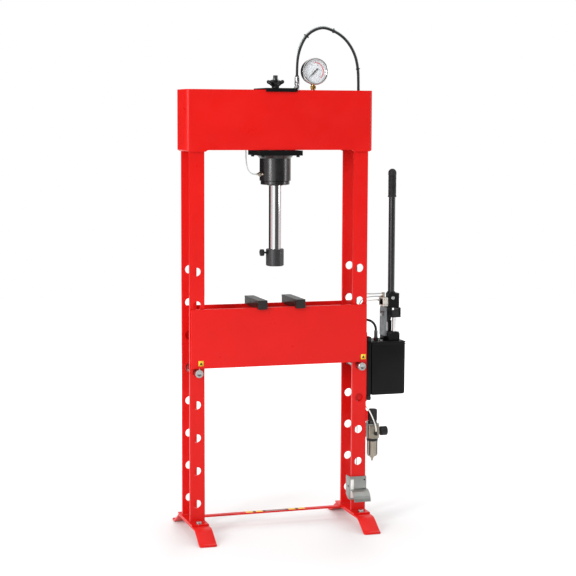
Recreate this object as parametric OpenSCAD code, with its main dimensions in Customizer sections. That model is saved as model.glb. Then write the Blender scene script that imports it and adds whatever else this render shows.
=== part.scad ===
// Floor-standing H-frame hydraulic shop press with an air/hand pump.
// Origin: on the floor, midway between the columns and midway front to back.
// +Z up, -Y towards the person working, millimetres.

/* [Frame] */
// Width over the outer edges of the columns
frame_w = 740; // [720:1:760]
// Height of the top edge of the head beam
beam_top = 1770; // [1760:1:1780]
// Height of the head beam plates
beam_h = 236; // [226:1:240]
// Thickness of the head beam and bed plates
plate_t = 12; // [10:0.5:12]
// Width of each column bar
bar_w = 60; // [56:1:64]
// Thickness of each column bar
bar_t = 12; // [10:0.5:12]
// Diameter of the pin holes in the columns
hole_d = 34; // [33:0.5:36]
// Spacing of the pin holes
hole_pitch = 132.5; // [131:0.5:134]
// Height of the highest pin hole
hole_top = 1057.5; // [1055:0.5:1060]

/* [Bed] */
// Diameter of the bed pins
pin_d = 32; // [30:0.5:32]
// Height of the bed plates
bed_h = 235; // [225:1:236]
// Width of each press block
block_w = 38; // [30:1:44]
// Distance from the middle to each press block
block_x = 79; // [70:1:90]

/* [Ram] */
// Outside diameter of the cylinder
cylinder_d = 125; // [120:1:126]
// Diameter of the piston rod
rod_d = 50; // [46:1:52]
// Side of the square flange under the beam
flange_w = 175; // [168:1:180]
// Diameter of the nose
nose_d = 72; // [66:1:74]
// Height of the nose's lower face
nose_z = 1069; // [1066:1:1072]

/* [Gauge] */
// Diameter of the gauge bezel
bezel_d = 107; // [104:1:110]
// Thickness of the gauge case, front to back
case_t = 34; // [30:1:38]

/* [Pump] */
// Length of the lever tube
lever_l = 410; // [380:5:440]
// Diameter of the lever tube
lever_d = 27; // [25:0.5:28]
// Height of the oil reservoir
tank_h = 220; // [200:2:224]
// Diameter of the pump plunger
plunger_d = 16; // [14:0.5:16]

/* [Hidden] */
$fn = 64;
fit = 0.05;

red = [0.86, 0.12, 0.1];
black = [0.06, 0.06, 0.065];
chrome = [0.82, 0.83, 0.85];
zinc = [0.7, 0.71, 0.72];
grey = [0.55, 0.55, 0.54];
brass = [0.78, 0.62, 0.3];
clear = [0.85, 0.88, 0.88];
white = [0.93, 0.93, 0.92];

// Columns
post_x = (frame_w - bar_w) / 2;
bar_in = 57;
bar_out = bar_in + bar_t;
foot_top = 52;
base_t = 6;
post_z = foot_top + base_t;
holes = 8;

// Head beam
beam_x = frame_w / 2 + 14;
beam_y = bar_out + plate_t;
beam_z = beam_top - beam_h;
bend_r = 14;
tab_drop = 6;
tab_in = post_x - bar_w / 2 - 2;
weld_r = 5.5;

// Feet
foot_w = 70;
foot_t = 8;
foot_bolt_y = 97;

// Bed
pin_z = hole_top - 3 * hole_pitch - (hole_d - pin_d) / 2 + 0.3;
bed_z = pin_z + pin_d / 2 + 0.3;
bed_x = frame_w / 2 - 4;
bed_in = bar_out + 1;
bed_top = bed_z + bed_h;
bed_out = bed_in + plate_t;
spacer_x = post_x - bar_w / 2 - 26;
block_h = 36;
block_slot = 6;
block_y = 99;

// Cylinder
flange_top = beam_z - 2;
flange_t = 20;
gland_z = 1395;
gland_t = 16;
bore_d = 90;
bore_top = 1690;
cap_z = 1700;
head_top = 1764;
piston_z = 1418;
piston_t = 22;
nose_h = 69;
nose_socket = 28;
screw_z = nose_z + 54;

// Carriage on the beam
saddle_t = 7;
saddle_z = beam_top + 0.3;
saddle_top = beam_top + saddle_t;
saddle_x = 63.5;
stud_d = 16;
stud_top = 1829;
manifold_z = 1738;
manifold_x = 66;
hose_x = 90;
gauge_x = 158;
gauge_z = 1845;
gauge_front = -32;
bezel_t = 12;

// Pump, on the right column
tank_x = 395;
tank_l = 150;
tank_w = 124;
tank_top = 751;
tank_r = 12;
base_z = 782;
plate_z = 768;
pivot_y = 14;
pivot_z = 859;
pivot_d = 12;
plunger_x = 508;
plunger_y = -22;
slot_d = 10.6;
head_z = 875;
cheek_left = 487;
cheek_right = 525;
tube_x = 502;
socket_top = 944;
grip_l = 116;
pump_port_x = 436.5;
bracket_t = 6;
bolt_x = frame_w / 2 + 13;
bolt_z = [523, 766];
strap_top = 774;

// Regulator, on the right column
reg_x = 406;
reg_y = -50;
reg_z = 353;
reg_w = 46;
reg_h = 58;

// Foot valve, on the right column
valve_x0 = 301;
valve_x1 = 373;
valve_z = 105;
valve_h = 96;
pedal_y = -80;
pedal_z = 140;
pedal_pin_d = 4;

// Hose and tubes: centre lines, chosen by hand
hose_d = 10;
tube_d = 5;
hose_route = [
    [hose_x, 0, 1829], [hose_x, 0, 1845], [93, 0, 1895], [106, 0, 1943], [130, 0, 1984],
    [162, 0, 2008], [200, 0, 2018], [242, 0, 2007], [284, 0, 1982], [314, 0, 1949],
    [336, 0, 1907], [347, 0, 1858], [350, 0, 1810], [350, 0, 1740], [346, 0, 1500],
    [346, 0, 1100], [347, 0, 960], [347, 0, 881.5], [349.5, 0, 867.5], [356.5, 0, 854.5],
    [367.5, 0, 845], [381, 0, 839.5], [402.5, 0, 835], [416, 0, 829.5], [427, 0, 820],
    [434, 0, 807.5], [pump_port_x, 0, 793]
];
return_route = [
    [-82, -20, 1437.5], [-92, -20, 1437.5], [-101, -19.5, 1439.5], [-109, -17.5, 1444.5],
    [-115, -14.5, 1452], [-119, -10.5, 1463], [-121, 0, 1494], [-118, 8, 1560], [-98, 18, 1680], [-78, 32, 1728], [-46, 39, 1748],
    [0, 40, 1751], [48, 37, 1752], [76, 28, 1766], [92, 18, 1796], [94, 14, 1829],
    [93.5, 10.5, 1864], [92, 8, 1897], [100, 5, 1945.5], [125, 5, 1988], [159, 5, 2014],
    [200, 5, 2024.5], [244.5, 5, 2013], [288, 5, 1987], [319.5, 5, 1952.5], [342, 5, 1909],
    [353.5, 5, 1859], [356.5, 6, 1810], [356, 8, 1600], [355, 8, 1010], [361, 6, 966],
    [378, 3, 947], [400, 0, 944], [462, 0, 944]
];
pilot_route = [
    [462, 12, 930], [420, 12, 930], [395, 13, 926], [376, 14, 915], [366, 14, 890],
    [363, 14, 850], [363, 14, 600], [362, 12, 400], [358, 2, 290], [349, -20, 240],
    [340, -36, 218], [338, -40, 203], [338, -40, 190]
];
supply_route = [
    [411, -81, 384], [411, -81, 394], [405, -82, 418], [394, -82, 445], [384, -76, 468],
    [375, -58, 486], [368, -38, 498], [364, -20, 514], [363, -14, 545], [363, -14, 845],
    [367, -12, 880], [378, -4, 903], [400, 12, 913], [430, 25, 914], [462, 26, 914]
];
tie_at = [4, 7, 11];

// Part to draw

beam_front_plate();
beam_rear_plate();
left_front_post();
left_rear_post();
right_front_post();
right_rear_post();
left_base_plate();
right_base_plate();
left_foot();
right_foot();
foot_bolts();
cross_strip();
bed_front_plate();
bed_rear_plate();
bed_spacers();
left_pin();
right_pin();
left_press_block();
right_press_block();
cylinder_body();
mount_flange();
cylinder_gland();
ram_rod();
ram_nose();
nose_screw();
saddle_plate();
clamp_stud();
clamp_knob();
manifold();
hose_fitting();
air_fitting();
gauge_stem();
gauge_case();
gauge_bezel();
gauge_dial();
gauge_glass();
gauge_needle();
pressure_hose();
return_tube();
hose_ties();
pump_bracket();
bracket_bolts();
pump_reservoir();
pump_base();
pump_side_plate();
pivot_bolt();
handle_socket();
handle_tube();
handle_grip();
pump_plunger();
pump_fittings();
valve_box();
pilot_tube();
regulator_bracket();
regulator_body();
regulator_bowl();
regulator_knob();
supply_tube();
foot_valve();
foot_pedal();

// ---- helpers ----

// Box from its lowest and highest corners
module box(lo, hi) {
    translate(lo) cube(hi - lo);
}

// Solid cylinder along X from x0 to x1 at height z and depth y
module rod_x(d, x0, x1, y, z) {
    translate([x0, y, z]) rotate([0, 90, 0]) cylinder(d = d, h = x1 - x0);
}

// Solid cylinder along Y from y0 to y1
module rod_y(d, x, y0, y1, z) {
    translate([x, y0, z]) rotate([-90, 0, 0]) cylinder(d = d, h = y1 - y0);
}

// Solid cylinder along Z from z0 to z1
module rod_z(d, x, y, z0, z1) {
    translate([x, y, z0]) cylinder(d = d, h = z1 - z0);
}

// Cylinder along Z with a chamfer at both ends
module chamfered(d, h, c) {
    cylinder(d1 = d - 2 * c, d2 = d, h = c);
    translate([0, 0, c]) cylinder(d = d, h = h - 2 * c);
    translate([0, 0, h - c]) cylinder(d1 = d, d2 = d - 2 * c, h = c);
}

// Upright block with rounded vertical edges
module round_box(lo, hi, r) {
    box([lo.x + r, lo.y, lo.z], [hi.x - r, hi.y, hi.z]);
    box([lo.x, lo.y + r, lo.z], [hi.x, hi.y - r, hi.z]);
    for (x = [lo.x + r, hi.x - r], y = [lo.y + r, hi.y - r])
        rod_z(2 * r, x, y, lo.z, hi.z);
}

// Hexagon bar along Z, af across flats
module hex_z(af, x, y, z0, z1) {
    translate([x, y, z0]) cylinder(d = af / cos(30), h = z1 - z0, $fn = 6);
}

function unit(v) = v / norm(v);

// Direction of the route at point i
function along(p, i) = unit(p[min(i + 1, len(p) - 1)] - p[max(i - 1, 0)]);

// Side direction carried from point to point without twist
function sides(p, i = 0, s = undef) =
    i >= len(p) ? [] :
    let (
        t = along(p, i),
        seed = is_undef(s) ? (abs(t.y) < 0.9 ? [0, 1, 0] : [1, 0, 0]) : s,
        v = unit(seed - (seed * t) * t)
    )
    concat([v], sides(p, i + 1, v));

// Tube swept along a route
module sweep_tube(p, d, n) {
    s = sides(p);
    points = [
        for (i = [0 : len(p) - 1])
            let (t = along(p, i), u = s[i], w = cross(t, u))
            for (k = [0 : n - 1])
                p[i] + d / 2 * (cos(360 * k / n) * u + sin(360 * k / n) * w)
    ];
    ends = [
        [for (k = [n - 1 : -1 : 0]) k],
        [for (k = [0 : n - 1]) (len(p) - 1) * n + k]
    ];
    walls = [
        for (i = [0 : len(p) - 2], k = [0 : n - 1])
            let (m = (k + 1) % n)
            [i * n + k, i * n + m, (i + 1) * n + m, (i + 1) * n + k]
    ];
    polyhedron(points = points, faces = concat([ends[0]], walls, [ends[1]]));
}

// ---- frame ----

// Front outline of a beam plate, with a tab over each column
module beam_outline(x_end) {
    x1 = tab_in;
    x2 = tab_in - 9;
    translate([0, beam_y, 0]) rotate([90, 0, 0]) linear_extrude(2 * beam_y)
        polygon([
            [-x_end, beam_top], [-x_end, beam_z], [-x_end + 12, beam_z - tab_drop],
            [-x1, beam_z - tab_drop], [-x2, beam_z], [x2, beam_z], [x1, beam_z - tab_drop],
            [x_end - 12, beam_z - tab_drop], [x_end, beam_z], [x_end, beam_top]
        ]);
}

module beam_front_plate() {
    color(red) intersection() {
        beam_outline(beam_x);
        difference() {
            union() {
                box([-beam_x + bend_r, -beam_y, 0], [beam_x - bend_r, 0, beam_top]);
                box([-beam_x, -beam_y + bend_r, 0], [beam_x, bar_out, beam_top]);
                for (s = [-1, 1])
                    rod_z(2 * bend_r, s * (beam_x - bend_r), -beam_y + bend_r, 0, beam_top);
            }
            box([-beam_x + bend_r, -bar_out, -1], [beam_x - bend_r, bar_out + 1, beam_top + 1]);
            box(
                [-beam_x + plate_t, -beam_y + bend_r, -1],
                [beam_x - plate_t, bar_out + 1, beam_top + 1]
            );
            for (s = [-1, 1])
                rod_z(
                    2 * (bend_r - plate_t), s * (beam_x - bend_r), -beam_y + bend_r,
                    -1, beam_top + 1
                );
        }
    }
}

module beam_rear_plate() {
    color(red) intersection() {
        beam_outline(beam_x);
        union() {
            box([-beam_x + 6, bar_out, 0], [beam_x - 6, beam_y, beam_top]);
            for (s = [-1, 1])
                intersection() {
                    rod_z(2 * weld_r, s * (beam_x - 6), bar_out, 0, beam_top);
                    box([-beam_x, bar_out, 0], [beam_x, beam_y, beam_top]);
                }
        }
    }
}

module post(side, y0) {
    color(red) difference() {
        box(
            [side * post_x - bar_w / 2, y0, post_z],
            [side * post_x + bar_w / 2, y0 + bar_t, beam_top - 20]
        );
        for (i = [0 : holes - 1])
            rod_y(hole_d, side * post_x, y0 - 1, y0 + bar_t + 1, hole_top - i * hole_pitch);
    }
}

module left_front_post() {
    post(-1, -bar_out);
}

module left_rear_post() {
    post(-1, bar_in);
}

module right_front_post() {
    post(1, -bar_out);
}

module right_rear_post() {
    post(1, bar_in);
}

module base_plate(side) {
    color(red) difference() {
        box(
            [side * post_x - foot_w / 2, -115, foot_top],
            [side * post_x + foot_w / 2, 115, post_z]
        );
        for (y = [-foot_bolt_y, foot_bolt_y])
            rod_z(13, side * (post_x + 2), y, foot_top - 1, post_z + 1);
    }
}

module left_base_plate() {
    base_plate(-1);
}

module right_base_plate() {
    base_plate(1);
}

module foot(side) {
    x0 = side * post_x - foot_w / 2;
    color(red) difference() {
        intersection() {
            translate([x0, 0, 0]) rotate([90, 0, 90]) linear_extrude(foot_w)
                polygon([
                    [-250, 0], [-226, 0], [-149, foot_top - foot_t], [110, foot_top - foot_t],
                    [188, 0], [225, 0], [225, foot_t], [191, foot_t], [113, foot_top],
                    [-152, foot_top], [-229, foot_t], [-250, foot_t]
                ]);
            round_box([x0, -250, -1], [x0 + foot_w, 225, foot_top + 1], 9);
        }
        for (y = [-foot_bolt_y, foot_bolt_y])
            rod_z(13, side * (post_x + 2), y, 0, foot_top + 1);
    }
}

module left_foot() {
    foot(-1);
}

module right_foot() {
    foot(1);
}

// Bolt, washer and nut holding a base plate to its foot
module foot_bolt(x, y) {
    rod_z(24, x, y, post_z, post_z + 2.5);
    hex_z(19, x, y, post_z + 2.5, post_z + 10);
    rod_z(12, x, y, foot_top - foot_t - 14, post_z + 3);
    hex_z(19, x, y, foot_top - foot_t - 10, foot_top - foot_t);
}

module foot_bolts() {
    color(zinc) for (s = [-1, 1], y = [-foot_bolt_y, foot_bolt_y])
        foot_bolt(s * (post_x + 2), y);
}

module cross_strip() {
    strip_x = post_x - foot_w / 2;
    color(red) box([-strip_x, 40, foot_top - 6], [strip_x, 65, foot_top]);
}

// ---- bed ----

module bed_front_plate() {
    color(red) box([-bed_x, -bed_out, bed_z], [bed_x, -bed_in, bed_top]);
}

module bed_rear_plate() {
    color(red) box([-bed_x, bed_in, bed_z], [bed_x, bed_out, bed_top]);
}

// Cross plates that hold the two bed plates apart, one beside each column
module bed_spacers() {
    color(red) for (s = [-1, 1])
        box(
            [s * spacer_x - plate_t / 2, -bed_in, bed_z + 25],
            [s * spacer_x + plate_t / 2, bed_in, bed_top - 30]
        );
}

module bed_pin(side) {
    color(zinc) difference() {
        translate([side * post_x, 104, pin_z]) rotate([90, 0, 0]) chamfered(pin_d, 210, 2);
        rod_y(18, side * post_x, -107, -104.5, pin_z);
    }
}

module left_pin() {
    bed_pin(-1);
}

module right_pin() {
    bed_pin(1);
}

// Loose block lying across the bed, notched over both bed plates
module press_block(side) {
    x0 = side * block_x - block_w / 2;
    z0 = bed_top - block_slot + 0.2;
    color(black) difference() {
        box([x0, -block_y, z0], [x0 + block_w, block_y, z0 + block_h]);
        for (s = [-1, 1])
            box(
                [x0 - 1, s * (bed_in + plate_t / 2) - plate_t / 2 - 0.7, z0 - 1],
                [x0 + block_w + 1, s * (bed_in + plate_t / 2) + plate_t / 2 + 0.7, z0 + block_slot]
            );
    }
}

module left_press_block() {
    press_block(-1);
}

module right_press_block() {
    press_block(1);
}

// ---- ram ----

module cylinder_body() {
    color(black) difference() {
        union() {
            rod_z(cylinder_d, 0, 0, gland_z + gland_t, cap_z);
            translate([0, 0, flange_top - flange_t - 12])
                cylinder(d1 = cylinder_d, d2 = cylinder_d + 22, h = 12);
            rod_z(96, 0, 0, cap_z, head_top - 28);
            box([0, -13, manifold_z - 10], [manifold_x, 13, head_top - 28]);
            box([20, -13, manifold_z - 10], [manifold_x, 13, head_top]);
        }
        rod_z(bore_d, 0, 0, gland_z, bore_top);
        rod_z(stud_d, 0, 0, cap_z, beam_top);
    }
}

// Square plate that bears against the underside of the beam
module mount_flange() {
    w = flange_w / 2;
    color(black) difference() {
        box([-w, -w, flange_top - flange_t], [w, w, flange_top]);
        rod_z(cylinder_d, 0, 0, flange_top - flange_t - 1, flange_top + 1);
    }
}

module cylinder_gland() {
    color(black) difference() {
        translate([0, 0, gland_z]) chamfered(116, gland_t, 2);
        rod_z(rod_d + 2 * fit, 0, 0, gland_z - 1, gland_z + gland_t + 1);
    }
}

module ram_rod() {
    color(chrome) {
        rod_z(rod_d, 0, 0, nose_z + nose_h - nose_socket, piston_z + 1);
        rod_z(bore_d - 0.1, 0, 0, piston_z, piston_z + piston_t);
    }
}

module ram_nose() {
    color(black) difference() {
        translate([0, 0, nose_z]) chamfered(nose_d, nose_h, 3);
        rod_z(rod_d, 0, 0, nose_z + nose_h - nose_socket, nose_z + nose_h + 1);
        rod_x(8 + 2 * fit, -nose_d, -rod_d / 2 + 1, 0, screw_z);
    }
}

module nose_screw() {
    color(black) {
        translate([-62, 0, screw_z]) rotate([0, 90, 0]) chamfered(28, 16, 2);
        rod_x(8, -47, -rod_d / 2 - 0.8, 0, screw_z);
    }
}

// ---- carriage on top of the beam ----

module saddle_plate() {
    color(black) difference() {
        union() {
            box([-saddle_x, -90, saddle_z], [saddle_x, 90, saddle_top]);
            for (y = [-90, beam_y + 1])
                box([-saddle_x, y, beam_top - 8], [saddle_x, y + 8, saddle_top]);
        }
        rod_z(stud_d + 1, 0, 0, beam_top - 1, saddle_top + 1);
    }
}

module clamp_stud() {
    color(zinc) {
        rod_z(stud_d, 0, 0, cap_z, stud_top - 14);
        hex_z(17, 0, 0, stud_top - 15, stud_top);
    }
}

// Four-armed hand knob that pulls the cylinder up against the beam
module clamp_knob() {
    color(black) difference() {
        union() {
            rod_z(30, 0, 0, saddle_top + 0.3, 1797);
            rod_z(22, 0, 0, 1796, 1811);
            for (a = [45 : 90 : 315])
                rotate([0, 0, a]) {
                    translate([6, 0, 1788]) rotate([0, 66, 0]) cylinder(d1 = 15, d2 = 13, h = 29);
                    translate([32.5, 0, 1799.5]) sphere(d = 15);
                }
        }
        rod_z(stud_d + 2 * fit, 0, 0, saddle_top - 1, 1830);
    }
}

// Pressure line from the cylinder to the hose and the gauge, inside the beam
module manifold() {
    color(zinc) {
        box([manifold_x, -13, manifold_z], [172, 13, head_top]);
        rod_z(18, hose_x, 0, head_top - 1, 1777);
        rod_z(18, gauge_x, 0, head_top - 1, 1773);
    }
}

module hose_fitting() {
    color(zinc) {
        rod_z(21, hose_x, 0, 1777, 1799);
        translate([hose_x, 0, 1799]) cylinder(d1 = 21, d2 = 16, h = 4);
        rod_z(16, hose_x, 0, 1803, 1824);
    }
    color(black) rod_z(14, hose_x, 0, 1824, 1829);
}

module air_fitting() {
    color(brass) difference() {
        union() {
            rod_x(12, -76, -50, -20, 1437.5);
            translate([-72, -20, 1437.5]) rotate([0, 90, 0])
                cylinder(d = 16 / cos(30), h = 8, $fn = 6);
            rod_x(10, -82, -75, -20, 1437.5);
        }
        rod_z(cylinder_d, 0, 0, 1400, 1480);
    }
}

// ---- pressure gauge ----

module gauge_stem() {
    color(brass) {
        hex_z(22, gauge_x, 0, 1773, 1788);
        rod_z(14, gauge_x, 0, 1787, 1792);
    }
}

module gauge_case() {
    y1 = gauge_front + bezel_t;
    color(chrome) difference() {
        union() {
            rod_y(bezel_d - 7, gauge_x, y1, y1 + case_t, gauge_z);
            box([gauge_x - 8, -8, 1792], [gauge_x + 8, 8, 1803]);
        }
        rod_y(bezel_d - 13, gauge_x, y1 - 1, y1 + case_t - 2, gauge_z);
    }
}

module gauge_bezel() {
    color(chrome) difference() {
        rod_y(bezel_d, gauge_x, gauge_front, gauge_front + bezel_t, gauge_z);
        rod_y(bezel_d - 16, gauge_x, gauge_front - 1, gauge_front + bezel_t + 1, gauge_z);
    }
}

module gauge_dial() {
    y1 = gauge_front + bezel_t;
    color(white) difference() {
        rod_y(bezel_d - 13, gauge_x, y1, y1 + 1, gauge_z);
        rod_y(4 + 2 * fit, gauge_x, y1 - 1, y1 + 2, gauge_z);
    }
}

module gauge_glass() {
    color(clear)
        rod_y(bezel_d - 16, gauge_x, gauge_front + 1, gauge_front + 3, gauge_z);
}

// Pointer at zero, towards the lower left
module gauge_needle() {
    y1 = gauge_front + 6;
    color(black) translate([gauge_x, 0, gauge_z]) rotate([0, -135, 0]) {
        rod_y(10, 0, y1, y1 + 2, 0);
        rod_y(4, 0, y1, gauge_front + bezel_t + 4, 0);
        box([-1.2, y1 + 0.4, -12], [1.2, y1 + 1.4, 37]);
    }
}

// ---- hose and tubes ----

module pressure_hose() {
    color(black) sweep_tube(hose_route, hose_d, 10);
}

module return_tube() {
    color(clear) sweep_tube(return_route, tube_d, 8);
}

module pilot_tube() {
    color(clear) sweep_tube(pilot_route, tube_d, 8);
}

module supply_tube() {
    color(white) sweep_tube(supply_route, tube_d, 8);
}

// Ties that hold the return tube to the hose
module hose_ties() {
    color(black) for (i = tie_at) {
        t = along(hose_route, i);
        translate(hose_route[i]) rotate([0, atan2(t.x, t.z), 0]) difference() {
            box([-11.5, -7, -2.5], [7, 10, 2.5]);
            box([-10, -5.5, -3], [5.5, 8.5, 3]);
        }
    }
}

// ---- pump ----

// Red plate on the outer edges of the right column, with arms to the reservoir
// Plate on the column with a flange behind the front bar and a lug for each bolt
module pump_bracket() {
    x0 = frame_w / 2;
    color(red) difference() {
        union() {
            box([x0, -62, 427], [x0 + bracket_t, 62, 792]);
            for (z = bolt_z)
                box([x0 + bracket_t - 1, -60, z - 10], [tank_x - 8, -48, z + 10]);
            box([x0 - 52, -bar_in, 512], [x0 + 1, -bar_in + bracket_t, 600]);
        }
        for (z = bolt_z)
            rod_y(8 + 2 * fit, bolt_x, -61, -47, z);
        rod_x(37, x0 - 1, x0 + bracket_t + 1, -55, 491);
        box([x0 - 1, -67, 472.5], [x0 + bracket_t + 1, -55, 509.5]);
    }
}

module bracket_bolts() {
    color(black) for (z = bolt_z) {
        translate([bolt_x, -66, z]) rotate([90, 0, 0])
            cylinder(d = 14 / cos(30), h = 5, $fn = 6);
        rod_y(8, bolt_x, -67, -49, z);
    }
}

// Straps and web on the reservoir's side, facing the column
module tank_mount() {
    x0 = frame_w / 2 + bracket_t;
    difference() {
        union() {
            for (s = [-1, 1])
                box([x0, s * 63 - 3, bolt_z[0] - 10], [tank_x - 3, s * 63 + 3, strap_top]);
            box([tank_x - 7, -62, 541], [tank_x - 3, 62, 741]);
            for (z = [545, 715])
                box([tank_x - 4, -45, z], [tank_x + 1, 45, z + 18]);
        }
        for (z = bolt_z)
            rod_y(8 + 2 * fit, bolt_x, -67, -59, z);
    }
}

module pump_reservoir() {
    lo = [tank_x, -tank_w / 2, tank_top - tank_h];
    hi = [tank_x + tank_l, tank_w / 2, tank_top];
    color(black) {
        difference() {
            round_box(lo, hi, tank_r);
            round_box(lo + [4, 4, 4], hi - [4, 4, 4], tank_r - 4);
            rod_z(plunger_d + 2 * fit, plunger_x, plunger_y, tank_top - 5, tank_top + 1);
        }
        tank_mount();
    }
}

module pump_base() {
    color(black) difference() {
        union() {
            box([480, -42, tank_top], [525, 42, base_z]);
            box([468, -8, tank_top], [481, 36, plate_z]);
            box([501, 24, base_z - 1], [515, 38, base_z + 46]);
        }
        rod_z(plunger_d + 2 * fit, plunger_x, plunger_y, tank_top - 1, base_z + 1);
    }
}

// Side plate that carries the pivot bolt
module pump_side_plate() {
    y0 = pivot_y - 32;
    y1 = pivot_y + 32;
    color(grey) difference() {
        union() {
            box([470, y0, plate_z], [478, y1, 871]);
            box([470, y0 + 20, 870], [478, y1 - 20, 891]);
            for (y = [y0 + 20, y1 - 20])
                rod_x(40, 470, 478, y, 871);
        }
        rod_x(pivot_d, 460, 490, pivot_y, pivot_z);
    }
}

module pivot_bolt() {
    color(zinc) {
        rod_x(pivot_d, 463, 541, pivot_y, pivot_z);
        translate([462, pivot_y, pivot_z]) rotate([0, 90, 0])
            cylinder(d = 19 / cos(30), h = 8, $fn = 6);
        translate([534, pivot_y, pivot_z]) rotate([0, 90, 0])
            cylinder(d = 19 / cos(30), h = 7, $fn = 6);
    }
}

// Socket that takes the lever tube, with a cheek on each side of the plunger
module handle_socket() {
    color(black) difference() {
        union() {
            round_box([cheek_left, -18, 884], [cheek_right + 8, 26, socket_top], 6);
            box([cheek_left, -32, 824], [cheek_left + 8, 26, 886]);
            box([cheek_right, -32, 846], [cheek_right + 8, 26, 886]);
            rod_x(8, cheek_left + 7, cheek_right + 1, plunger_y, pivot_z);
        }
        rod_z(lever_d, tube_x, 0, 890, socket_top + 1);
        rod_x(pivot_d + 2 * fit, cheek_left - 1, cheek_right + 9, pivot_y, pivot_z);
        translate([cheek_left - 1, -32, 824]) rotate([38, 0, 0]) cube([60, 40, 40], center = true);
    }
}

module handle_tube() {
    color(black) difference() {
        rod_z(lever_d, tube_x, 0, 890, socket_top + lever_l);
        rod_z(lever_d - 5, tube_x, 0, 889, socket_top + lever_l + 1);
    }
}

module handle_grip() {
    z0 = socket_top + lever_l - 14;
    color(black) difference() {
        union() {
            rod_z(34, tube_x, 0, z0, z0 + grip_l - 17);
            translate([tube_x, 0, z0 + grip_l - 17]) sphere(d = 34);
        }
        rod_z(lever_d, tube_x, 0, z0 - 1, socket_top + lever_l);
    }
}

// Plunger with a slotted head that the pin between the cheeks lifts and lowers
module pump_plunger() {
    color(chrome) difference() {
        union() {
            rod_z(plunger_d, plunger_x, plunger_y, 730, 849);
            box(
                [cheek_left + 9, plunger_y - 10, 846],
                [cheek_right - 1, plunger_y + 14, head_z]
            );
        }
        for (y = [0, 6])
            rod_x(slot_d, cheek_left + 8, cheek_right, plunger_y + y, pivot_z);
        box(
            [cheek_left + 8, plunger_y, pivot_z - slot_d / 2],
            [cheek_right, plunger_y + 6, pivot_z + slot_d / 2]
        );
    }
}

// Outlet for the pressure hose and the filler plug, on top of the reservoir
module pump_fittings() {
    color(zinc) {
        hex_z(18, pump_port_x, 0, tank_top, tank_top + 16);
        rod_z(15, pump_port_x, 0, tank_top + 15, 793);
        rod_z(16, 442, -45, tank_top, tank_top + 8);
    }
}

// Air valve on the side plate, with the push-in fittings of the tubes
module valve_box() {
    color(grey) box([462, -14, 891], [484, 34, 927]);
    color(black) {
        for (y = [0, 12]) {
            rod_z(9, 469, y, 926, y == 0 ? 949 : 935);
            rod_x(9, 462, 469, y, y == 0 ? 944 : 930);
        }
    }
}

// ---- regulator ----

module regulator_bracket() {
    color(grey) difference() {
        union() {
            box([frame_w / 2 + bracket_t, -62, 359], [382, -58, 468]);
            box([381, reg_y - 22, reg_z + reg_h], [430, reg_y + 22, reg_z + reg_h + 3]);
        }
        rod_z(29, reg_x, reg_y, reg_z + reg_h - 1, reg_z + reg_h + 4);
    }
}

module regulator_body() {
    w = reg_w / 2;
    z1 = reg_z + reg_h;
    color(grey) {
        round_box([reg_x - w, reg_y - w, reg_z], [reg_x + w, reg_y + w, z1], 5);
        rod_z(28, reg_x, reg_y, z1 - 1, z1 + 14);
        rod_x(14, reg_x + w - 1, reg_x + w + 9, reg_y, reg_z + 27);
    }
    color(black) {
        rod_x(38, reg_x + w + 9, reg_x + w + 40, reg_y, reg_z + 27);
        rod_y(11, 411, -86, -72, 373);
        rod_z(9, 411, -81, 372, 384);
    }
}

module regulator_bowl() {
    color(black) {
        rod_z(45, reg_x, reg_y, 290, reg_z);
        translate([reg_x, reg_y, 275]) cylinder(d1 = 26, d2 = 45, h = 15);
        rod_z(10, reg_x, reg_y, 258, 276);
    }
}

module regulator_knob() {
    z1 = reg_z + reg_h;
    color(black) difference() {
        translate([reg_x, reg_y, z1 + 3.3]) chamfered(39, 59.7, 2);
        rod_z(28 + 2 * fit, reg_x, reg_y, z1, z1 + 15);
    }
}

// ---- foot valve ----

// Valve clipped round the front bar, with the pin that the pedal turns on
module foot_valve() {
    z1 = valve_z + valve_h;
    color(grey) {
        difference() {
            union() {
                box([valve_x0, -75, valve_z], [valve_x0 + 3, -26, z1]);
                box([frame_w / 2, -75, valve_z], [valve_x1, -26, z1]);
            }
            translate([0, -26, valve_z]) rotate([35, 0, 0])
                box([valve_x0 - 1, -40, -30], [valve_x1 + 1, 20, 0]);
        }
        box([valve_x0, -75, valve_z], [valve_x1, -72, z1]);
        box([valve_x0 + 2, -bar_in, valve_z + 20], [frame_w / 2 + 1, -30, z1 - 11]);
        for (x = [328, 348])
            box([x, pedal_y - 4, pedal_z - 4], [x + 4, -74, pedal_z + 4]);
    }
    color(zinc) rod_x(pedal_pin_d, 309, 371, pedal_y, pedal_z);
}

module foot_pedal() {
    color(grey) difference() {
        union() {
            difference() {
                rod_x(90, 305, 376, -76, 104);
                rod_x(84, 304, 377, -76, 104);
                box([304, -77, 50], [377, 0, 160]);
                box([304, -130, 50], [377, 0, 104]);
            }
            for (x = [312, 360])
                box([x, pedal_y - 4, pedal_z - 4], [x + 6, -77, 147]);
        }
        rod_x(pedal_pin_d + 2 * fit, 304, 377, pedal_y, pedal_z);
    }
}
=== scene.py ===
import math
import random

import bmesh
import bpy
from mathutils import Matrix, Vector


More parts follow.
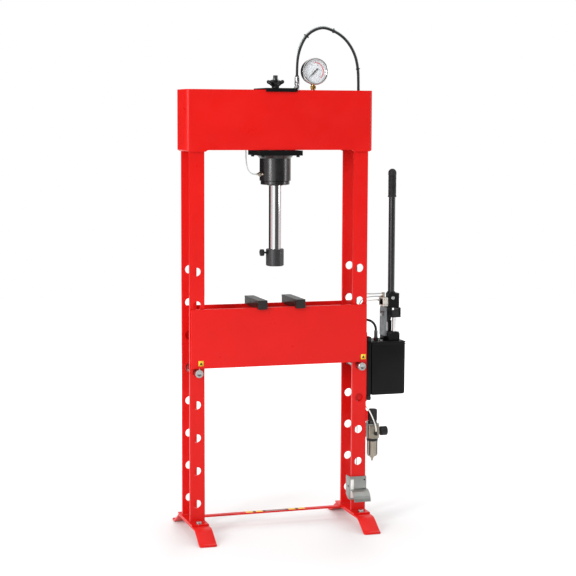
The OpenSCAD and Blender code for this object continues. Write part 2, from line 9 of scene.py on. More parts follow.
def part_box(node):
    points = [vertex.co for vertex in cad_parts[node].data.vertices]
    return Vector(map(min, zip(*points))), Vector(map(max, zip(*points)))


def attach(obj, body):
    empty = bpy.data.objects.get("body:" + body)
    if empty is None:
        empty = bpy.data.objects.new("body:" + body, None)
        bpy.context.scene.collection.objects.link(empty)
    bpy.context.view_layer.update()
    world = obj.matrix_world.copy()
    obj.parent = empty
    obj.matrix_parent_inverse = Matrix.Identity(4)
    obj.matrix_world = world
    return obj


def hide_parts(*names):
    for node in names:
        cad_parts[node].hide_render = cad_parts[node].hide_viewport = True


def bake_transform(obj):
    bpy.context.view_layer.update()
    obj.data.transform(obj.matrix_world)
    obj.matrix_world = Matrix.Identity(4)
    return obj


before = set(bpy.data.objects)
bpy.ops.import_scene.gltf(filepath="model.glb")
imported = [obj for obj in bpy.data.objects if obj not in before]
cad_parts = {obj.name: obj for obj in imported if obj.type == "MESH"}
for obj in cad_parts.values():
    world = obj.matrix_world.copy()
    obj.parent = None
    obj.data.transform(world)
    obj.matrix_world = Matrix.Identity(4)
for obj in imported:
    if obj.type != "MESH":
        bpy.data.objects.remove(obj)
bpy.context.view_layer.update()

MM = 0.001
X, Y, Z = Vector((1, 0, 0)), Vector((0, 1, 0)), Vector((0, 0, 1))


# ---- camera ----

AZIMUTH = math.radians(-17.61)
ELEVATION = math.radians(6.01)
ROLL = math.radians(0.23)
DISTANCE = 6.4
TARGET = Vector((0.0352, -0.0650, 0.9844))
LENS_MM = 100.1


def place(name, data):
    """Link new data into the scene as an object."""
    obj = bpy.data.objects.new(name, data)
    bpy.context.scene.collection.objects.link(obj)
    return obj


def add_camera():
    """Camera at the photograph's viewing angle, aimed at TARGET."""
    data = bpy.data.cameras.new("camera")
    data.lens = LENS_MM
    data.sensor_width = 36
    data.clip_end = 60
    camera = place("camera", data)
    away = Vector(
        (
            math.sin(AZIMUTH) * math.cos(ELEVATION),
            -math.cos(AZIMUTH) * math.cos(ELEVATION),
            math.sin(ELEVATION),
        )
    )
    camera.matrix_world = (
        Matrix.Translation(TARGET + away * DISTANCE)
        @ (-away).to_track_quat("-Z", "Y").to_matrix().to_4x4()
        @ Matrix.Rotation(ROLL, 4, "Z")
    )
    bpy.context.scene.camera = camera


add_camera()


# ---- mesh helpers ----


def new_object(name, bm, smooth=None):
    """Link a bmesh as an object; smooth is the angle in degrees under which edges look round."""
    mesh = bpy.data.meshes.new(name)
    bmesh.ops.recalc_face_normals(bm, faces=bm.faces)
    bm.to_mesh(mesh)
    bm.free()
    obj = place(name, mesh)
    if smooth is not None:
        for polygon in mesh.polygons:
            polygon.use_smooth = True
        mesh.set_sharp_from_angle(angle=math.radians(smooth))
    return obj


def apply_modifiers(obj):
    """Bake an object's modifiers into its mesh."""
    graph = bpy.context.evaluated_depsgraph_get()
    mesh = bpy.data.meshes.new_from_object(obj.evaluated_get(graph))
    old = obj.data
    obj.modifiers.clear()
    obj.data = mesh
    bpy.data.meshes.remove(old)
    return obj


def bevel(obj, width, segments=3, angle=30):
    """Round an object's edges."""
    modifier = obj.modifiers.new("bevel", "BEVEL")
    modifier.width = width
    modifier.segments = segments
    modifier.limit_method = "ANGLE"
    modifier.angle_limit = math.radians(angle)
    modifier.harden_normals = False
    bpy.context.view_layer.update()
    apply_modifiers(obj)
    for polygon in obj.data.polygons:
        polygon.use_smooth = True
    obj.data.set_sharp_from_angle(angle=math.radians(50))
    return obj


def frame_of(axis):
    """Two directions square to axis."""
    axis = axis.normalized()
    u = (Y if abs(axis.y) < 0.9 else X).cross(axis).normalized()
    return u, axis.cross(u)


def add_lathe(bm, profile, origin, axis, sides=48, start=0.0):
    """Add a turned shape: profile is (radius, distance along axis), in mm, from end to end.

    A profile that comes back to its first point makes a closed ring without end caps.
    """
    origin, axis = Vector(origin), Vector(axis)
    u, v = frame_of(axis)
    closed = profile[0] == profile[-1]
    if closed:
        profile = profile[:-1]
    rings = []
    for radius, along in profile:
        middle = origin + axis * along * MM
        turns = [start + 2 * math.pi * k / sides for k in range(sides if radius else 1)]
        rings.append([
            bm.verts.new(middle + (u * math.cos(a) + v * math.sin(a)) * radius * MM) for a in turns
        ])
    pairs = list(zip(rings, rings[1:])) + ([(rings[-1], rings[0])] if closed else [])
    for low, high in pairs:
        for k in range(sides):
            m = (k + 1) % sides
            if len(low) == 1 and len(high) > 1:
                bm.faces.new((low[0], high[k], high[m]))
            elif len(high) == 1 and len(low) > 1:
                bm.faces.new((low[k], high[0], low[m]))
            elif len(low) > 1:
                bm.faces.new((low[k], high[k], high[m], low[m]))
    for ring in () if closed else (rings[0], rings[-1]):
        if len(ring) > 1:
            bm.faces.new(ring)


def lathe(name, profile, origin, axis, sides=48):
    """One turned object; profile in millimetres, origin in metres."""
    bm = bmesh.new()
    add_lathe(bm, profile, origin, axis, sides)
    return new_object(name, bm, 35)


def add_box(bm, lo, hi):
    """Add a box from its corners, in metres."""
    lo, hi = Vector(lo), Vector(hi)
    made = bmesh.ops.create_cube(bm, size=1.0)["verts"]
    size = hi - lo
    matrix = Matrix.Translation((lo + hi) / 2) @ Matrix.Diagonal((size.x, size.y, size.z, 1))
    bmesh.ops.transform(bm, matrix=matrix, verts=made)
    return made


def rounded_box(name, lo, hi, radius, segments=3):
    """Box with rounded edges; corners and radius in metres."""
    bm = bmesh.new()
    add_box(bm, lo, hi)
    return bevel(new_object(name, bm), radius, segments)


def prism(name, outline, axis, start, length, radius=0.0):
    """Extrude an outline, drawn square to axis, from start over length."""
    place = {
        "X": lambda p, d: Vector((d, p[0], p[1])), "Y": lambda p, d: Vector((p[0], d, p[1])),
        "Z": lambda p, d: Vector((p[0], p[1], d)),
    }[axis]
    bm = bmesh.new()
    near = [bm.verts.new(place(p, start)) for p in outline]
    far = [bm.verts.new(place(p, start + length)) for p in outline]
    bm.faces.new(near)
    bm.faces.new(far[::-1])
    for k in range(len(outline)):
        m = (k + 1) % len(outline)
        bm.faces.new((near[k], far[k], far[m], near[m]))
    obj = new_object(name, bm)
    return bevel(obj, radius, 2) if radius else obj


def hexagon(bm, flats, origin, axis, length, chamfer=1.2, turn=0.0):
    """Add a hexagon head with chamfered ends; its sizes in mm, its origin in metres."""
    radius = flats / 2 / math.cos(math.pi / 6)
    small, drop = flats / 2 * 0.96, chamfer * 0.6
    profile = [(small, 0), (radius, drop), (radius, length - drop), (small, length)]
    add_lathe(bm, profile, origin, axis, 6, turn)


def thread(radius, pitch, start, stop):
    """Profile of a ridged thread between two distances, in millimetres."""
    turns = max(2, int((stop - start) / pitch))
    step = (stop - start) / turns
    root = radius * 0.94
    points = []
    for k in range(turns):
        points += [(root, start + step * (k + 0.1)), (radius, start + step * (k + 0.5))]
    return points + [(root, stop)]


def knurl(bm, c, axis, beyond, depth, teeth):
    """Press teeth into the skin of a turned shape that lies beyond a radius in mm from its axis."""
    for vert in bm.verts:
        away = vert.co - c
        away -= axis * away.dot(axis)
        if away.length > beyond * MM:
            u, v = (away.y, away.z) if axis.x else (away.x, away.y)
            wave = math.cos(math.atan2(v, u) * teeth)
            vert.co -= away.normalized() * depth * MM * (0.5 + 0.5 * wave)


def join(name, objs):
    """Join objects into one."""
    bm = bmesh.new()
    slots = []
    for obj in objs:
        base = len(slots)
        slots += list(obj.data.materials) or [None]
        part = bmesh.new()
        part.from_mesh(obj.data)
        part.transform(obj.matrix_world)
        for face in part.faces:
            face.material_index += base
        scratch = bpy.data.meshes.new("scratch")
        part.to_mesh(scratch)
        part.free()
        bm.from_mesh(scratch)
        bpy.data.meshes.remove(scratch)
    mesh = bpy.data.meshes.new(name)
    bm.to_mesh(mesh)
    bm.free()
    result = place(name, mesh)
    if any(slots):
        for material in slots:
            mesh.materials.append(material)
    for obj in objs:
        bpy.data.objects.remove(obj)
    return result


def smooth_curve(points, steps):
    """Points on a curve through the given ones, without loops where their spacing changes."""
    last = len(points) - 1
    gaps = [(b - a).length ** 0.5 for a, b in zip(points, points[1:])]
    slopes = [(b - a) / gap for a, b, gap in zip(points, points[1:], gaps)]
    tangents = []
    for i in range(1, last):
        before, after = gaps[i - 1], gaps[i]
        tangents.append((slopes[i - 1] * after + slopes[i] * before) / (before + after))
    tangents.insert(0, slopes[0] * 2 - tangents[0])
    tangents.append(slopes[-1] * 2 - tangents[-1])
    result = []
    for i in range(last):
        for k in range(steps):
            t = k / steps
            result.append(
                points[i] * (2 * t**3 - 3 * t**2 + 1)
                + tangents[i] * (gaps[i] * (t**3 - 2 * t**2 + t))
                + points[i + 1] * (3 * t**2 - 2 * t**3)
                + tangents[i + 1] * (gaps[i] * (t**3 - t**2))
            )
    result.append(points[-1])
    return result


def skin(bm, rings, closed=False):
    """Faces between rings of vertices: a capped sweep, or a loop where closed."""
    for low, high in list(zip(rings, rings[1:])) + ([(rings[-1], rings[0])] if closed else []):
        for k in range(len(low)):
            m = (k + 1) % len(low)
            bm.faces.new((low[k], low[m], high[m], high[k]))
    if not closed:
        bm.faces.new(rings[0][::-1])
        bm.faces.new(rings[-1])


def heading(path, i):
    """Direction of a path at its point i."""
    return (path[min(i + 1, len(path) - 1)] - path[max(i - 1, 0)]).normalized()


def add_tube(bm, path, radius, sides=12, wave=None):
    """Sweep a round tube along a path; wave(i) scales the radius at ring i."""
    turns = [2 * math.pi * k / sides for k in range(sides)]
    side = None
    rings = []
    for i, p in enumerate(path):
        along = heading(path, i)
        side = side or frame_of(along)[0]
        side = (side - along * side.dot(along)).normalized()
        up = along.cross(side)
        r = radius * (wave(i) if wave else 1)
        rings.append([bm.verts.new(p + (side * math.cos(a) + up * math.sin(a)) * r) for a in turns])
    skin(bm, rings)


# ---- materials ----


class Nodes:
    """Short hand for building a node tree."""

    def __init__(self, owner):
        owner.use_nodes = True
        self.owner = owner
        self.tree = owner.node_tree

    def add(self, kind, **inputs):
        node = self.tree.nodes.new(kind)
        for key, value in inputs.items():
            node.inputs[key.replace("_", " ")].default_value = value
        return node

    def link(self, source, target):
        self.tree.links.new(source, target)

    def ramp(self, source, stops):
        """Colour ramp; stops are (position, colour)."""
        node = self.add("ShaderNodeValToRGB")
        elements = node.color_ramp.elements
        while len(elements) < len(stops):
            elements.new(0.5)
        for element, (position, colour) in zip(elements, stops):
            element.position = position
            element.color = (*colour, 1)
        self.link(source, node.inputs["Fac"])
        return node.outputs["Color"]

    def scale(self, source, start, stop, low, high):
        """Map source from start..stop to low..high."""
        node = self.add("ShaderNodeMapRange")
        for key, value in zip(("From Min", "From Max", "To Min", "To Max"), (start, stop, low, high)):
            node.inputs[key].default_value = value
        self.link(source, node.inputs["Value"])
        return node.outputs["Result"]

    def mix(self, factor, low, high):
        """Mix two colours; each is a socket or a colour."""
        node = self.add("ShaderNodeMix")
        node.data_type = "RGBA"
        self.link(factor, node.inputs["Factor"])
        for value, key in ((low, 6), (high, 7)):
            if isinstance(value, tuple):
                node.inputs[key].default_value = (*value, 1)
            else:
                self.link(value, node.inputs[key])
        return node.outputs[2]


class Surface(Nodes):
    """A material's node tree, with the patterns that wear and finish need."""

    def __init__(self, name):
        super().__init__(bpy.data.materials.new(name))
        self.shader = self.tree.nodes["Principled BSDF"]
        self.place = self.add("ShaderNodeTexCoord").outputs["Object"]

    def noise(self, scale, detail=4.0, roughness=0.55, stretch=None):
        """Noise in object space; stretch scales the space along X, Y and Z."""
        node = self.add("ShaderNodeTexNoise", Scale=scale, Detail=detail, Roughness=roughness)
        source = self.place
        if stretch:
            mapping = self.add("ShaderNodeMapping")
            mapping.inputs["Scale"].default_value = stretch
            self.link(source, mapping.inputs["Vector"])
            source = mapping.outputs["Vector"]
        self.link(source, node.inputs["Vector"])
        return node.outputs["Fac"]

    def spread(self, source, low, high):
        """Map noise to a range."""
        return self.scale(source, 0.3, 0.7, low, high)

    def mottled(self, scale, detail, colour, low, high):
        """Colour that drifts with noise between two shades of itself."""
        return self.ramp(
            self.noise(scale, detail), [(0.3, shade(colour, low)), (0.7, shade(colour, high))],
        )

    def bump(self, source, strength, distance, edge=0.0):
        """Bump, over rounded edges where edge is the rounding radius."""
        node = self.add("ShaderNodeBump", Strength=strength, Distance=distance)
        self.link(source, node.inputs["Height"])
        if edge:
            rounded = self.add("ShaderNodeBevel", Radius=edge)
            rounded.samples = 4
            self.link(rounded.outputs["Normal"], node.inputs["Normal"])
        self.link(node.outputs["Normal"], self.shader.inputs["Normal"])

    def set(self, **values):
        for key, value in values.items():
            socket = self.shader.inputs[key.replace("_", " ")]
            if hasattr(value, "links") or isinstance(value, bpy.types.NodeSocket):
                self.link(value, socket)
            else:
                socket.default_value = value
        return self.owner


def shade(colour, factor):
    return tuple(min(1.0, c * factor) for c in colour)


def painted(name, colour, rough=0.3, coat=0.1, vary=0.05, peel=0.05, gloss=0.2):
    """Enamel or powder coat: orange peel, patchy gloss and slightly uneven colour."""
    n = Surface(name)
    base = n.mottled(4.5, 5, colour, 1 - vary, 1 + vary)
    dusty = n.mix(n.spread(n.noise(90, 3), 0.0, 0.05), base, shade(colour, 0.72))
    n.bump(n.noise(420, 2), peel, 0.0004, 0.0012)
    return n.set(
        Base_Color=dusty, Roughness=n.spread(n.noise(14, 4), rough * 0.85, rough * 1.25),
        Specular_IOR_Level=gloss, Coat_Weight=coat, Coat_Roughness=0.12,
    )


def metal(name, colour, rough=0.3, vary=0.08, brush=None, scratch=0.04, edge=0.0008):
    """Bare or plated metal, with brushing along one direction when brush is given."""
    n = Surface(name)
    grain = n.noise(260, 3, 0.6, brush or (1, 1, 1))
    n.bump(grain, scratch, 0.0003, edge)
    return n.set(
        Base_Color=n.mottled(11, 5, colour, 1 - vary, 1 + vary * 0.5), Metallic=1.0,
        Roughness=n.spread(n.noise(60, 4, 0.6, brush or (1, 1, 1)), rough * 0.75, rough * 1.3),
    )


def plastic(name, colour, rough=0.45, vary=0.12, grain=0.08, coat=0.0, edge=0.0006):
    """Moulded plastic or rubber with a fine grain."""
    n = Surface(name)
    n.bump(n.noise(900, 2), grain, 0.0003, edge)
    return n.set(
        Base_Color=n.mottled(20, 4, colour, 1 - vary, 1 + vary),
        Roughness=n.spread(n.noise(35, 4), rough * 0.8, rough * 1.2), Specular_IOR_Level=0.3,
        Coat_Weight=coat,
    )


def cast(name, colour, rough=0.5, metallic=0.0, grain=0.25, gloss=0.25):
    """Cast metal, sand textured, bare or thinly painted."""
    n = Surface(name)
    n.bump(n.noise(650, 3), grain, 0.0006, 0.001)
    return n.set(
        Base_Color=n.mottled(26, 5, colour, 0.82, 1.16), Metallic=metallic,
        Roughness=n.spread(n.noise(50, 4), rough * 0.85, rough * 1.15), Specular_IOR_Level=gloss,
    )


def clear(name, colour, alpha, rough=0.08):
    """Clear or tinted plastic and glass, with faint smears."""
    n = Surface(name)
    n.bump(n.noise(120, 2), 0.02, 0.0003)
    return n.set(
        Base_Color=n.mottled(30, 4, colour, 0.92, 1.05),
        Roughness=n.spread(n.noise(25, 4), rough * 0.7, rough * 1.6), Alpha=alpha, IOR=1.45,
    )


RED = painted("red_enamel", (0.62, 0.008, 0.006), 0.32, 0.04)
WELD = cast("weld_paint", (0.56, 0.008, 0.006), 0.30, 0.0, 0.5, 0.5)
BLACK = painted("black_enamel", (0.004, 0.004, 0.0045), 0.36, 0.0, 0.2, 0.06, gloss=0.15)
SATIN_BLACK = painted("cylinder_enamel", (0.004, 0.004, 0.005), 0.24, 0.0, 0.2, 0.02, gloss=0.7)
BLACK_STEEL = cast("blackened_steel", (0.014, 0.014, 0.015), 0.42, 0.0, 0.12)
NOSE_STEEL = cast("nose_steel", (0.014, 0.014, 0.016), 0.34, 0.0, 0.08, 0.6)
BLOCK_STEEL = cast("block_steel", (0.013, 0.0105, 0.009), 0.34, 0.0, 0.12, 0.4)
ZINC = metal("zinc_plate", (0.50, 0.52, 0.52), 0.28, 0.12)
STEEL = metal("turned_steel", (0.44, 0.46, 0.45), 0.27, 0.08, (1, 1, 14))
ROD_CHROME = metal("rod_chrome", (0.80, 0.80, 0.81), 0.07, 0.03, (1, 1, 10), 0.01)
CHROME = metal("case_chrome", (0.62, 0.62, 0.62), 0.12, 0.04, None, 0.004, 0.0)
DARK_STEEL = metal("dark_union_steel", (0.16, 0.17, 0.17), 0.35, 0.15)
NICKEL = metal("nickelled_brass", (0.40, 0.36, 0.29), 0.3, 0.10)
BRASS = metal("brass", (0.70, 0.47, 0.15), 0.25, 0.12)
PLATE_ALLOY = metal("plate_alloy", (0.25, 0.27, 0.28), 0.42, 0.08, None, 0.08)
ALLOY = metal("die_cast_alloy", (0.30, 0.27, 0.22), 0.42, 0.12, None, 0.12)
SHEET = metal("galvanised_sheet", (0.40, 0.41, 0.39), 0.36, 0.22, None, 0.06)
BLACK_PLASTIC = plastic("black_plastic", (0.010, 0.010, 0.011), 0.42)
RUBBER = plastic("black_rubber", (0.012, 0.012, 0.012), 0.55, 0.15, 0.2)
HOSE = plastic("hose_cover", (0.010, 0.010, 0.011), 0.48, 0.2, 0.15)
WHITE = plastic("white_nylon", (0.76, 0.75, 0.72), 0.35, 0.04, 0.03)
PALE_FILTER = plastic("filter_felt", (0.62, 0.57, 0.47), 0.7, 0.1, 0.3)
VALVE_BODY = plastic("valve_resin", (0.55, 0.53, 0.47), 0.4, 0.08, 0.06)
CLEAR_TUBE = clear("clear_nylon", (0.52, 0.57, 0.57), 0.72, 0.2)
DRAIN = plastic("drain_resin", (0.36, 0.34, 0.28), 0.4, 0.08, 0.05)
LABEL_GREY = plastic("label_grey", (0.26, 0.19, 0.18), 0.5, 0.05, 0.02)
GLASS = clear("gauge_window", (0.95, 0.97, 0.98), 0.05, 0.06)
SMOKE = clear("smoked_bowl", (0.40, 0.36, 0.28), 0.55, 0.2)
DIAL = plastic("dial_white", (0.70, 0.74, 0.77), 0.4, 0.02, 0.01, 0.0, 0.0)
INK = plastic("dial_ink", (0.012, 0.012, 0.012), 0.5, 0.1, 0.01, 0.0, 0.0)
GREY_INK = plastic("dial_print", (0.24, 0.25, 0.27), 0.5, 0.1, 0.01, 0.0, 0.0)
RED_INK = plastic("dial_red", (0.62, 0.03, 0.03), 0.5, 0.06, 0.01, 0.0, 0.0)
YELLOW = plastic("label_yellow", (0.80, 0.55, 0.03), 0.4, 0.05, 0.02, 0.0)
DARK_SEAL = plastic("dark_seal", (0.01, 0.01, 0.01), 0.5, 0.1, 0.05)


def plunger_material(split):
    """Chrome rod whose head, above the height split in metres, is blackened."""
    n = Surface("plunger_chrome")
    height = n.add("ShaderNodeSeparateXYZ")
    n.link(n.place, height.inputs["Vector"])
    head = n.scale(height.outputs["Z"], split - 0.0002, split, 0, 1)
    bright = n.ramp(n.noise(11, 5), [(0.3, (0.64, 0.65, 0.66)), (0.7, (0.72, 0.73, 0.74))])
    dark = n.ramp(n.noise(26, 5), [(0.3, (0.010, 0.010, 0.011)), (0.7, (0.018, 0.018, 0.02))])
    n.bump(n.noise(260, 3), 0.04, 0.0003, 0.0008)
    return n.set(
        Base_Color=n.mix(head, bright, dark), Metallic=n.scale(head, 0, 1, 1.0, 0.0),
        Roughness=n.scale(head, 0, 1, 0.12, 0.42), Specular_IOR_Level=0.25,
    )


PLUNGER = plunger_material(0.846)


def finish_piece(obj, material, body, slot, *nodes):
    """Give a piece its material and body, and hide the nodes it stands for; slot is not used."""
    if material is not None:
        obj.data.materials.clear()
        obj.data.materials.append(material)
    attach(obj, body)
    if nodes:
        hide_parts(*nodes)
    return obj


def piece(name, bm, smooth, *facts):
    """A bmesh as a finished piece."""
    return finish_piece(new_object(name, bm, smooth), *facts)


def turned(name, profile, origin, axis, sides, *facts):
    """A turned shape as a finished piece."""
    return finish_piece(lathe(name, profile, origin, axis, sides), *facts)


def paint_node(material, *names):
    """Put a better material on CAD nodes."""
    for name in names:
        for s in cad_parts[name].material_slots:
            s.material = material


def corners(node):
    """Lowest and highest corner of a CAD node's box, in metres."""
    lo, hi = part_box(node)
    return Vector(lo), Vector(hi)


def four_corners(lo, hi, inset):
    """The four (x, y) places inset from the corners of a box."""
    return [(x, y) for x in (lo.x + inset, hi.x - inset) for y in (lo.y + inset, hi.y - inset)]


def heads(name, profile, spots, axis, sides, *facts):
    """The same small turned head at several spots, as one piece."""
    bm = bmesh.new()
    for spot in spots:
        add_lathe(bm, profile, spot, axis, sides)
    piece(name, bm, 35, *facts)


# ---- hose and tubes: the same points as in the CAD model, in millimetres ----

HOSE_X = 90
PORT_X = 436.5
HOSE_ROUTE = [
    (HOSE_X, 0, 1829), (HOSE_X, 0, 1845), (93, 0, 1895), (106, 0, 1943), (130, 0, 1984), (162, 0, 2008),
    (200, 0, 2018), (242, 0, 2007), (284, 0, 1982), (314, 0, 1949), (336, 0, 1907), (347, 0, 1858),
    (350, 0, 1810), (350, 0, 1740), (346, 0, 1500), (346, 0, 1100), (347, 0, 960), (347, 0, 881.5),
    (349.5, 0, 867.5), (356.5, 0, 854.5), (367.5, 0, 845), (381, 0, 839.5), (402.5, 0, 835),
    (416, 0, 829.5), (427, 0, 820), (434, 0, 807.5), (PORT_X, 0, 793),
]
RETURN_ROUTE = [
    (-82, -20, 1437.5), (-92, -20, 1437.5), (-101, -19.5, 1439.5), (-109, -17.5, 1444.5),
    (-115, -14.5, 1452), (-119, -10.5, 1463), (-121, 0, 1494), (-118, 8, 1560), (-98, 18, 1680),
    (-78, 32, 1728), (-46, 39, 1748), (0, 40, 1751), (48, 37, 1752), (76, 28, 1766), (92, 18, 1796),
    (94, 14, 1829), (93.5, 10.5, 1864), (92, 8, 1897), (100, 5, 1945.5), (125, 5, 1988), (159, 5, 2014),
    (200, 5, 2024.5), (244.5, 5, 2013), (288, 5, 1987), (319.5, 5, 1952.5), (342, 5, 1909),
    (353.5, 5, 1859), (356.5, 6, 1810), (356, 8, 1600), (355, 8, 1010), (361, 6, 966), (378, 3, 947),
    (400, 0, 944), (462, 0, 944),
]
PILOT_ROUTE = [
    (462, 12, 930), (420, 12, 930), (395, 13, 926), (376, 14, 915), (366, 14, 890), (363, 14, 850),
    (363, 14, 600), (362, 12, 400), (358, 2, 290), (349, -20, 240), (340, -36, 218), (338, -40, 203),
    (338, -40, 190),
]
SUPPLY_ROUTE = [
    (411, -81, 384), (411, -81, 394), (405, -82, 418), (394, -82, 445), (384, -76, 468),
    (375, -58, 486), (368, -38, 498), (364, -20, 514), (363, -14, 545), (363, -14, 845),
    (367, -12, 880), (378, -4, 903), (400, 12, 913), (430, 25, 914), (462, 26, 914),
]
HOSE_D = 10 * MM
TUBE_D = 5 * MM
TIE_AT = (4, 7, 11)


def smooth_route(route):
    return smooth_curve([Vector(p) * MM for p in route], 6)


def hose_piece(name, route, diameter, material, slot, node, moving, **facts):
    """A hose or tube as a swept mesh."""
    path = smooth_route(route)
    bm = bmesh.new()
    add_tube(bm, path, diameter / 2, 14 if diameter > 0.008 else 10)
    obj = new_object(name, bm, 60)
    obj.data.materials.append(material)
    if moving:
        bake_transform(obj)
    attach(obj, "frame")
    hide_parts(node)
    return obj


def tie_pieces():
    """Narrow cable ties round the hose and the return tube, each with its little head."""
    ties = []
    route = [Vector(p) * MM for p in HOSE_ROUTE]
    for number, i in enumerate(TIE_AT):
        along = (route[i + 1] - route[i - 1]).normalized()
        out = Vector((-along.z, 0, along.x))
        middle = route[i] + out * 3.2 * MM + Y * 2.3 * MM
        across = (out * 6.5 + Y * 5).normalized()
        high = along.cross(across).normalized()
        bm = bmesh.new()
        rings = []
        for k in range(28):
            a = 2 * math.pi * k / 28
            reach = (across * 9.2 * math.cos(a) + high * 5.7 * math.sin(a)) * MM
            away = reach.normalized()
            rings.append([
                bm.verts.new(middle + reach + (along * w + away * t) * MM)
                for w, t in ((-1.6, 0), (1.6, 0), (1.6, 0.9), (-1.6, 0.9))
            ])
        skin(bm, rings, closed=True)
        head = middle - across * 11.0 * MM
        made = add_box(bm, Vector((-2.6, -2.2, -2.4)) * MM, Vector((2.6, 2.2, 2.4)) * MM)
        turn = Matrix((along, across, high)).transposed().to_4x4()
        bmesh.ops.transform(bm, matrix=Matrix.Translation(head) @ turn, verts=made)
        tie = new_object(f"hose_tie_{number + 1}", bm)
        tie.data.materials.append(BLACK_PLASTIC)
        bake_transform(tie)
        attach(tie, "frame")
        ties.append(tie)
    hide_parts("hose_ties")
    return ties


TIES = tie_pieces()
hose_piece(
    "pressure_hose_line", HOSE_ROUTE, HOSE_D, HOSE, "black_rubber", "pressure_hose", True,
    with_pieces=TIES,
)
hose_piece("return_air_line", RETURN_ROUTE, TUBE_D, CLEAR_TUBE, "clear_tube", "return_tube", True)
hose_piece("pilot_air_line", PILOT_ROUTE, TUBE_D, CLEAR_TUBE, "clear_tube", "pilot_tube", False)
hose_piece("supply_air_line", SUPPLY_ROUTE, TUBE_D, WHITE, "white_tube", "supply_tube", False)


# ---- frame: plates keep their CAD shape, feet and welds are built here ----

paint_node(
    RED, "beam_front_plate", "beam_rear_plate", "left_front_post", "left_rear_post", "right_front_post",
    "right_rear_post", "left_base_plate", "right_base_plate", "cross_strip", "bed_front_plate",
    "bed_rear_plate", "bed_spacers", "pump_bracket",
)


def foot_piece(side):
    """Foot bent from thick flat bar, with round bends and rounded tips."""
    lo, hi = corners(f"{side}_foot")
    half = 4 * MM
    line = [
        (-246, 4), (-238, 4), (-230, 5), (-220, 10), (-205, 19.5), (-185, 32), (-168, 42), (-156, 46.8),
        (-146, 48), (-120, 48), (0, 48), (95, 48), (107, 47), (118, 42.5), (132, 33.5), (152, 22),
        (172, 11), (182, 6), (192, 4), (206, 4), (221, 4),
    ]
    path = smooth_curve([Vector((0, y * MM, z * MM)) for y, z in line], 4)
    for p in path:
        p.z = max(p.z, 1.05 * half)
    bm = bmesh.new()
    rings = []
    reach = (hi.x - lo.x) / 2
    middle = (hi.x + lo.x) / 2
    corner = 14 * MM
    for i, p in enumerate(path):
        up = X.cross(heading(path, i))
        near = min((p - path[0]).length, (p - path[-1]).length) + 3 * MM
        cut = max(0.0, corner - near)
        wide = reach - (corner - math.sqrt(max(corner**2 - cut**2, 0)))
        rings.append(
            [
                bm.verts.new(Vector((middle + sx * wide, p.y, p.z)) + up * sz * half)
                for sx, sz in ((-1, -1), (1, -1), (1, 1), (-1, 1))
            ]
        )
    skin(bm, rings)
    obj = bevel(new_object(f"{side}_bent_foot", bm), 1.2 * MM, 2, 50)
    return finish_piece(obj, RED, "frame", "red_paint", f"{side}_foot")


def weld_bead(name, start, end, radius, body="frame"):
    """Rippled weld bead along a straight corner."""
    start, end = Vector(start), Vector(end)
    count = max(4, int((end - start).length / (1.6 * MM)))
    rng = random.Random(name)
    path = [
        start.lerp(end, i / count)
        + Vector([rng.uniform(-0.35, 0.35) * MM for _ in range(3)])
        for i in range(count + 1)
    ]
    sizes = [1 + 0.13 * math.sin(i * 2.1) + rng.uniform(-0.06, 0.06) for i in range(count + 1)]
    sizes[0] = sizes[-1] = 0.55
    bm = bmesh.new()
    add_tube(bm, path, radius, 10, lambda i: sizes[i])
    obj = new_object(name, bm, 80)
    return finish_piece(obj, WELD, body, "red_paint")


def frame_welds():
    """Fillet welds where the bars, plates and spacers meet."""
    lo, hi = corners("beam_front_plate")
    rear_lo, _ = corners("beam_rear_plate")
    for side, x, inward in (("left", lo.x, 1), ("right", hi.x, -1)):
        weld_bead(
            f"{side}_beam_end_weld", (x + inward * 6.6 * MM, rear_lo.y + 3.0 * MM, lo.z + 9 * MM),
            (x + inward * 6.6 * MM, rear_lo.y + 3.0 * MM, hi.z - 4 * MM), 5.2 * MM,
        )
    for side in ("left", "right"):
        for where, sign in (("front", -1), ("rear", 1)):
            lo, hi = corners(f"{side}_{where}_post")
            for name, y in (("outer", lo.y if sign < 0 else hi.y), ("inner", hi.y if sign < 0 else lo.y)):
                weld_bead(
                    f"{side}_{where}_post_{name}_weld", (lo.x + 3 * MM, y, lo.z + 0.5 * MM),
                    (hi.x - 3 * MM, y, lo.z + 0.5 * MM), 2.6 * MM,
                )
    lo, hi = corners("bed_spacers")
    plate = 12 * MM
    for side, x in (("left", lo.x + plate), ("right", hi.x - plate)):
        for where, y in (("front", lo.y), ("rear", hi.y)):
            weld_bead(
                f"{side}_{where}_spacer_weld", (x, y, lo.z + 8 * MM), (x, y, hi.z - 8 * MM), 2.6 * MM,
                "bed",
            )


def foot_bolt(name, x, y, top):
    """Hex bolt with washer and a nut below, one piece."""
    bm = bmesh.new()
    base = Vector((x, y, top))
    washer = [(6.6, 0), (11.6, 0), (12, 0.4), (12, 2.1), (11.6, 2.5), (6.6, 2.5)]
    add_lathe(bm, washer, base, Z, 40)
    hexagon(bm, 19, base + Z * 2.5 * MM, Z, 7.5, 1.6, 0.3)
    add_lathe(bm, [(0, 9.9), (8.2, 9.9), (8.2, 10.1), (0, 10.25)], base, Z, 32)
    hexagon(bm, 19, base - Z * 24 * MM, Z, 9.9, 1.6, 0.1)
    profile = thread(6, 1.75, -27.5, -14.2)
    add_lathe(bm, [(4.8, -28)] + profile, base, Z, 24)
    return new_object(name, bm, 30)


def foot_bolt_set():
    """The four foot bolts as one piece."""
    lo, hi = corners("foot_bolts")
    _, plate = corners("left_base_plate")
    bolts = [foot_bolt("foot_bolt", x, y, plate.z) for x, y in four_corners(lo, hi, 12 * MM)]
    finish_piece(join("foot_bolt_set", bolts), ZINC, "frame", "zinc_steel", "foot_bolts")


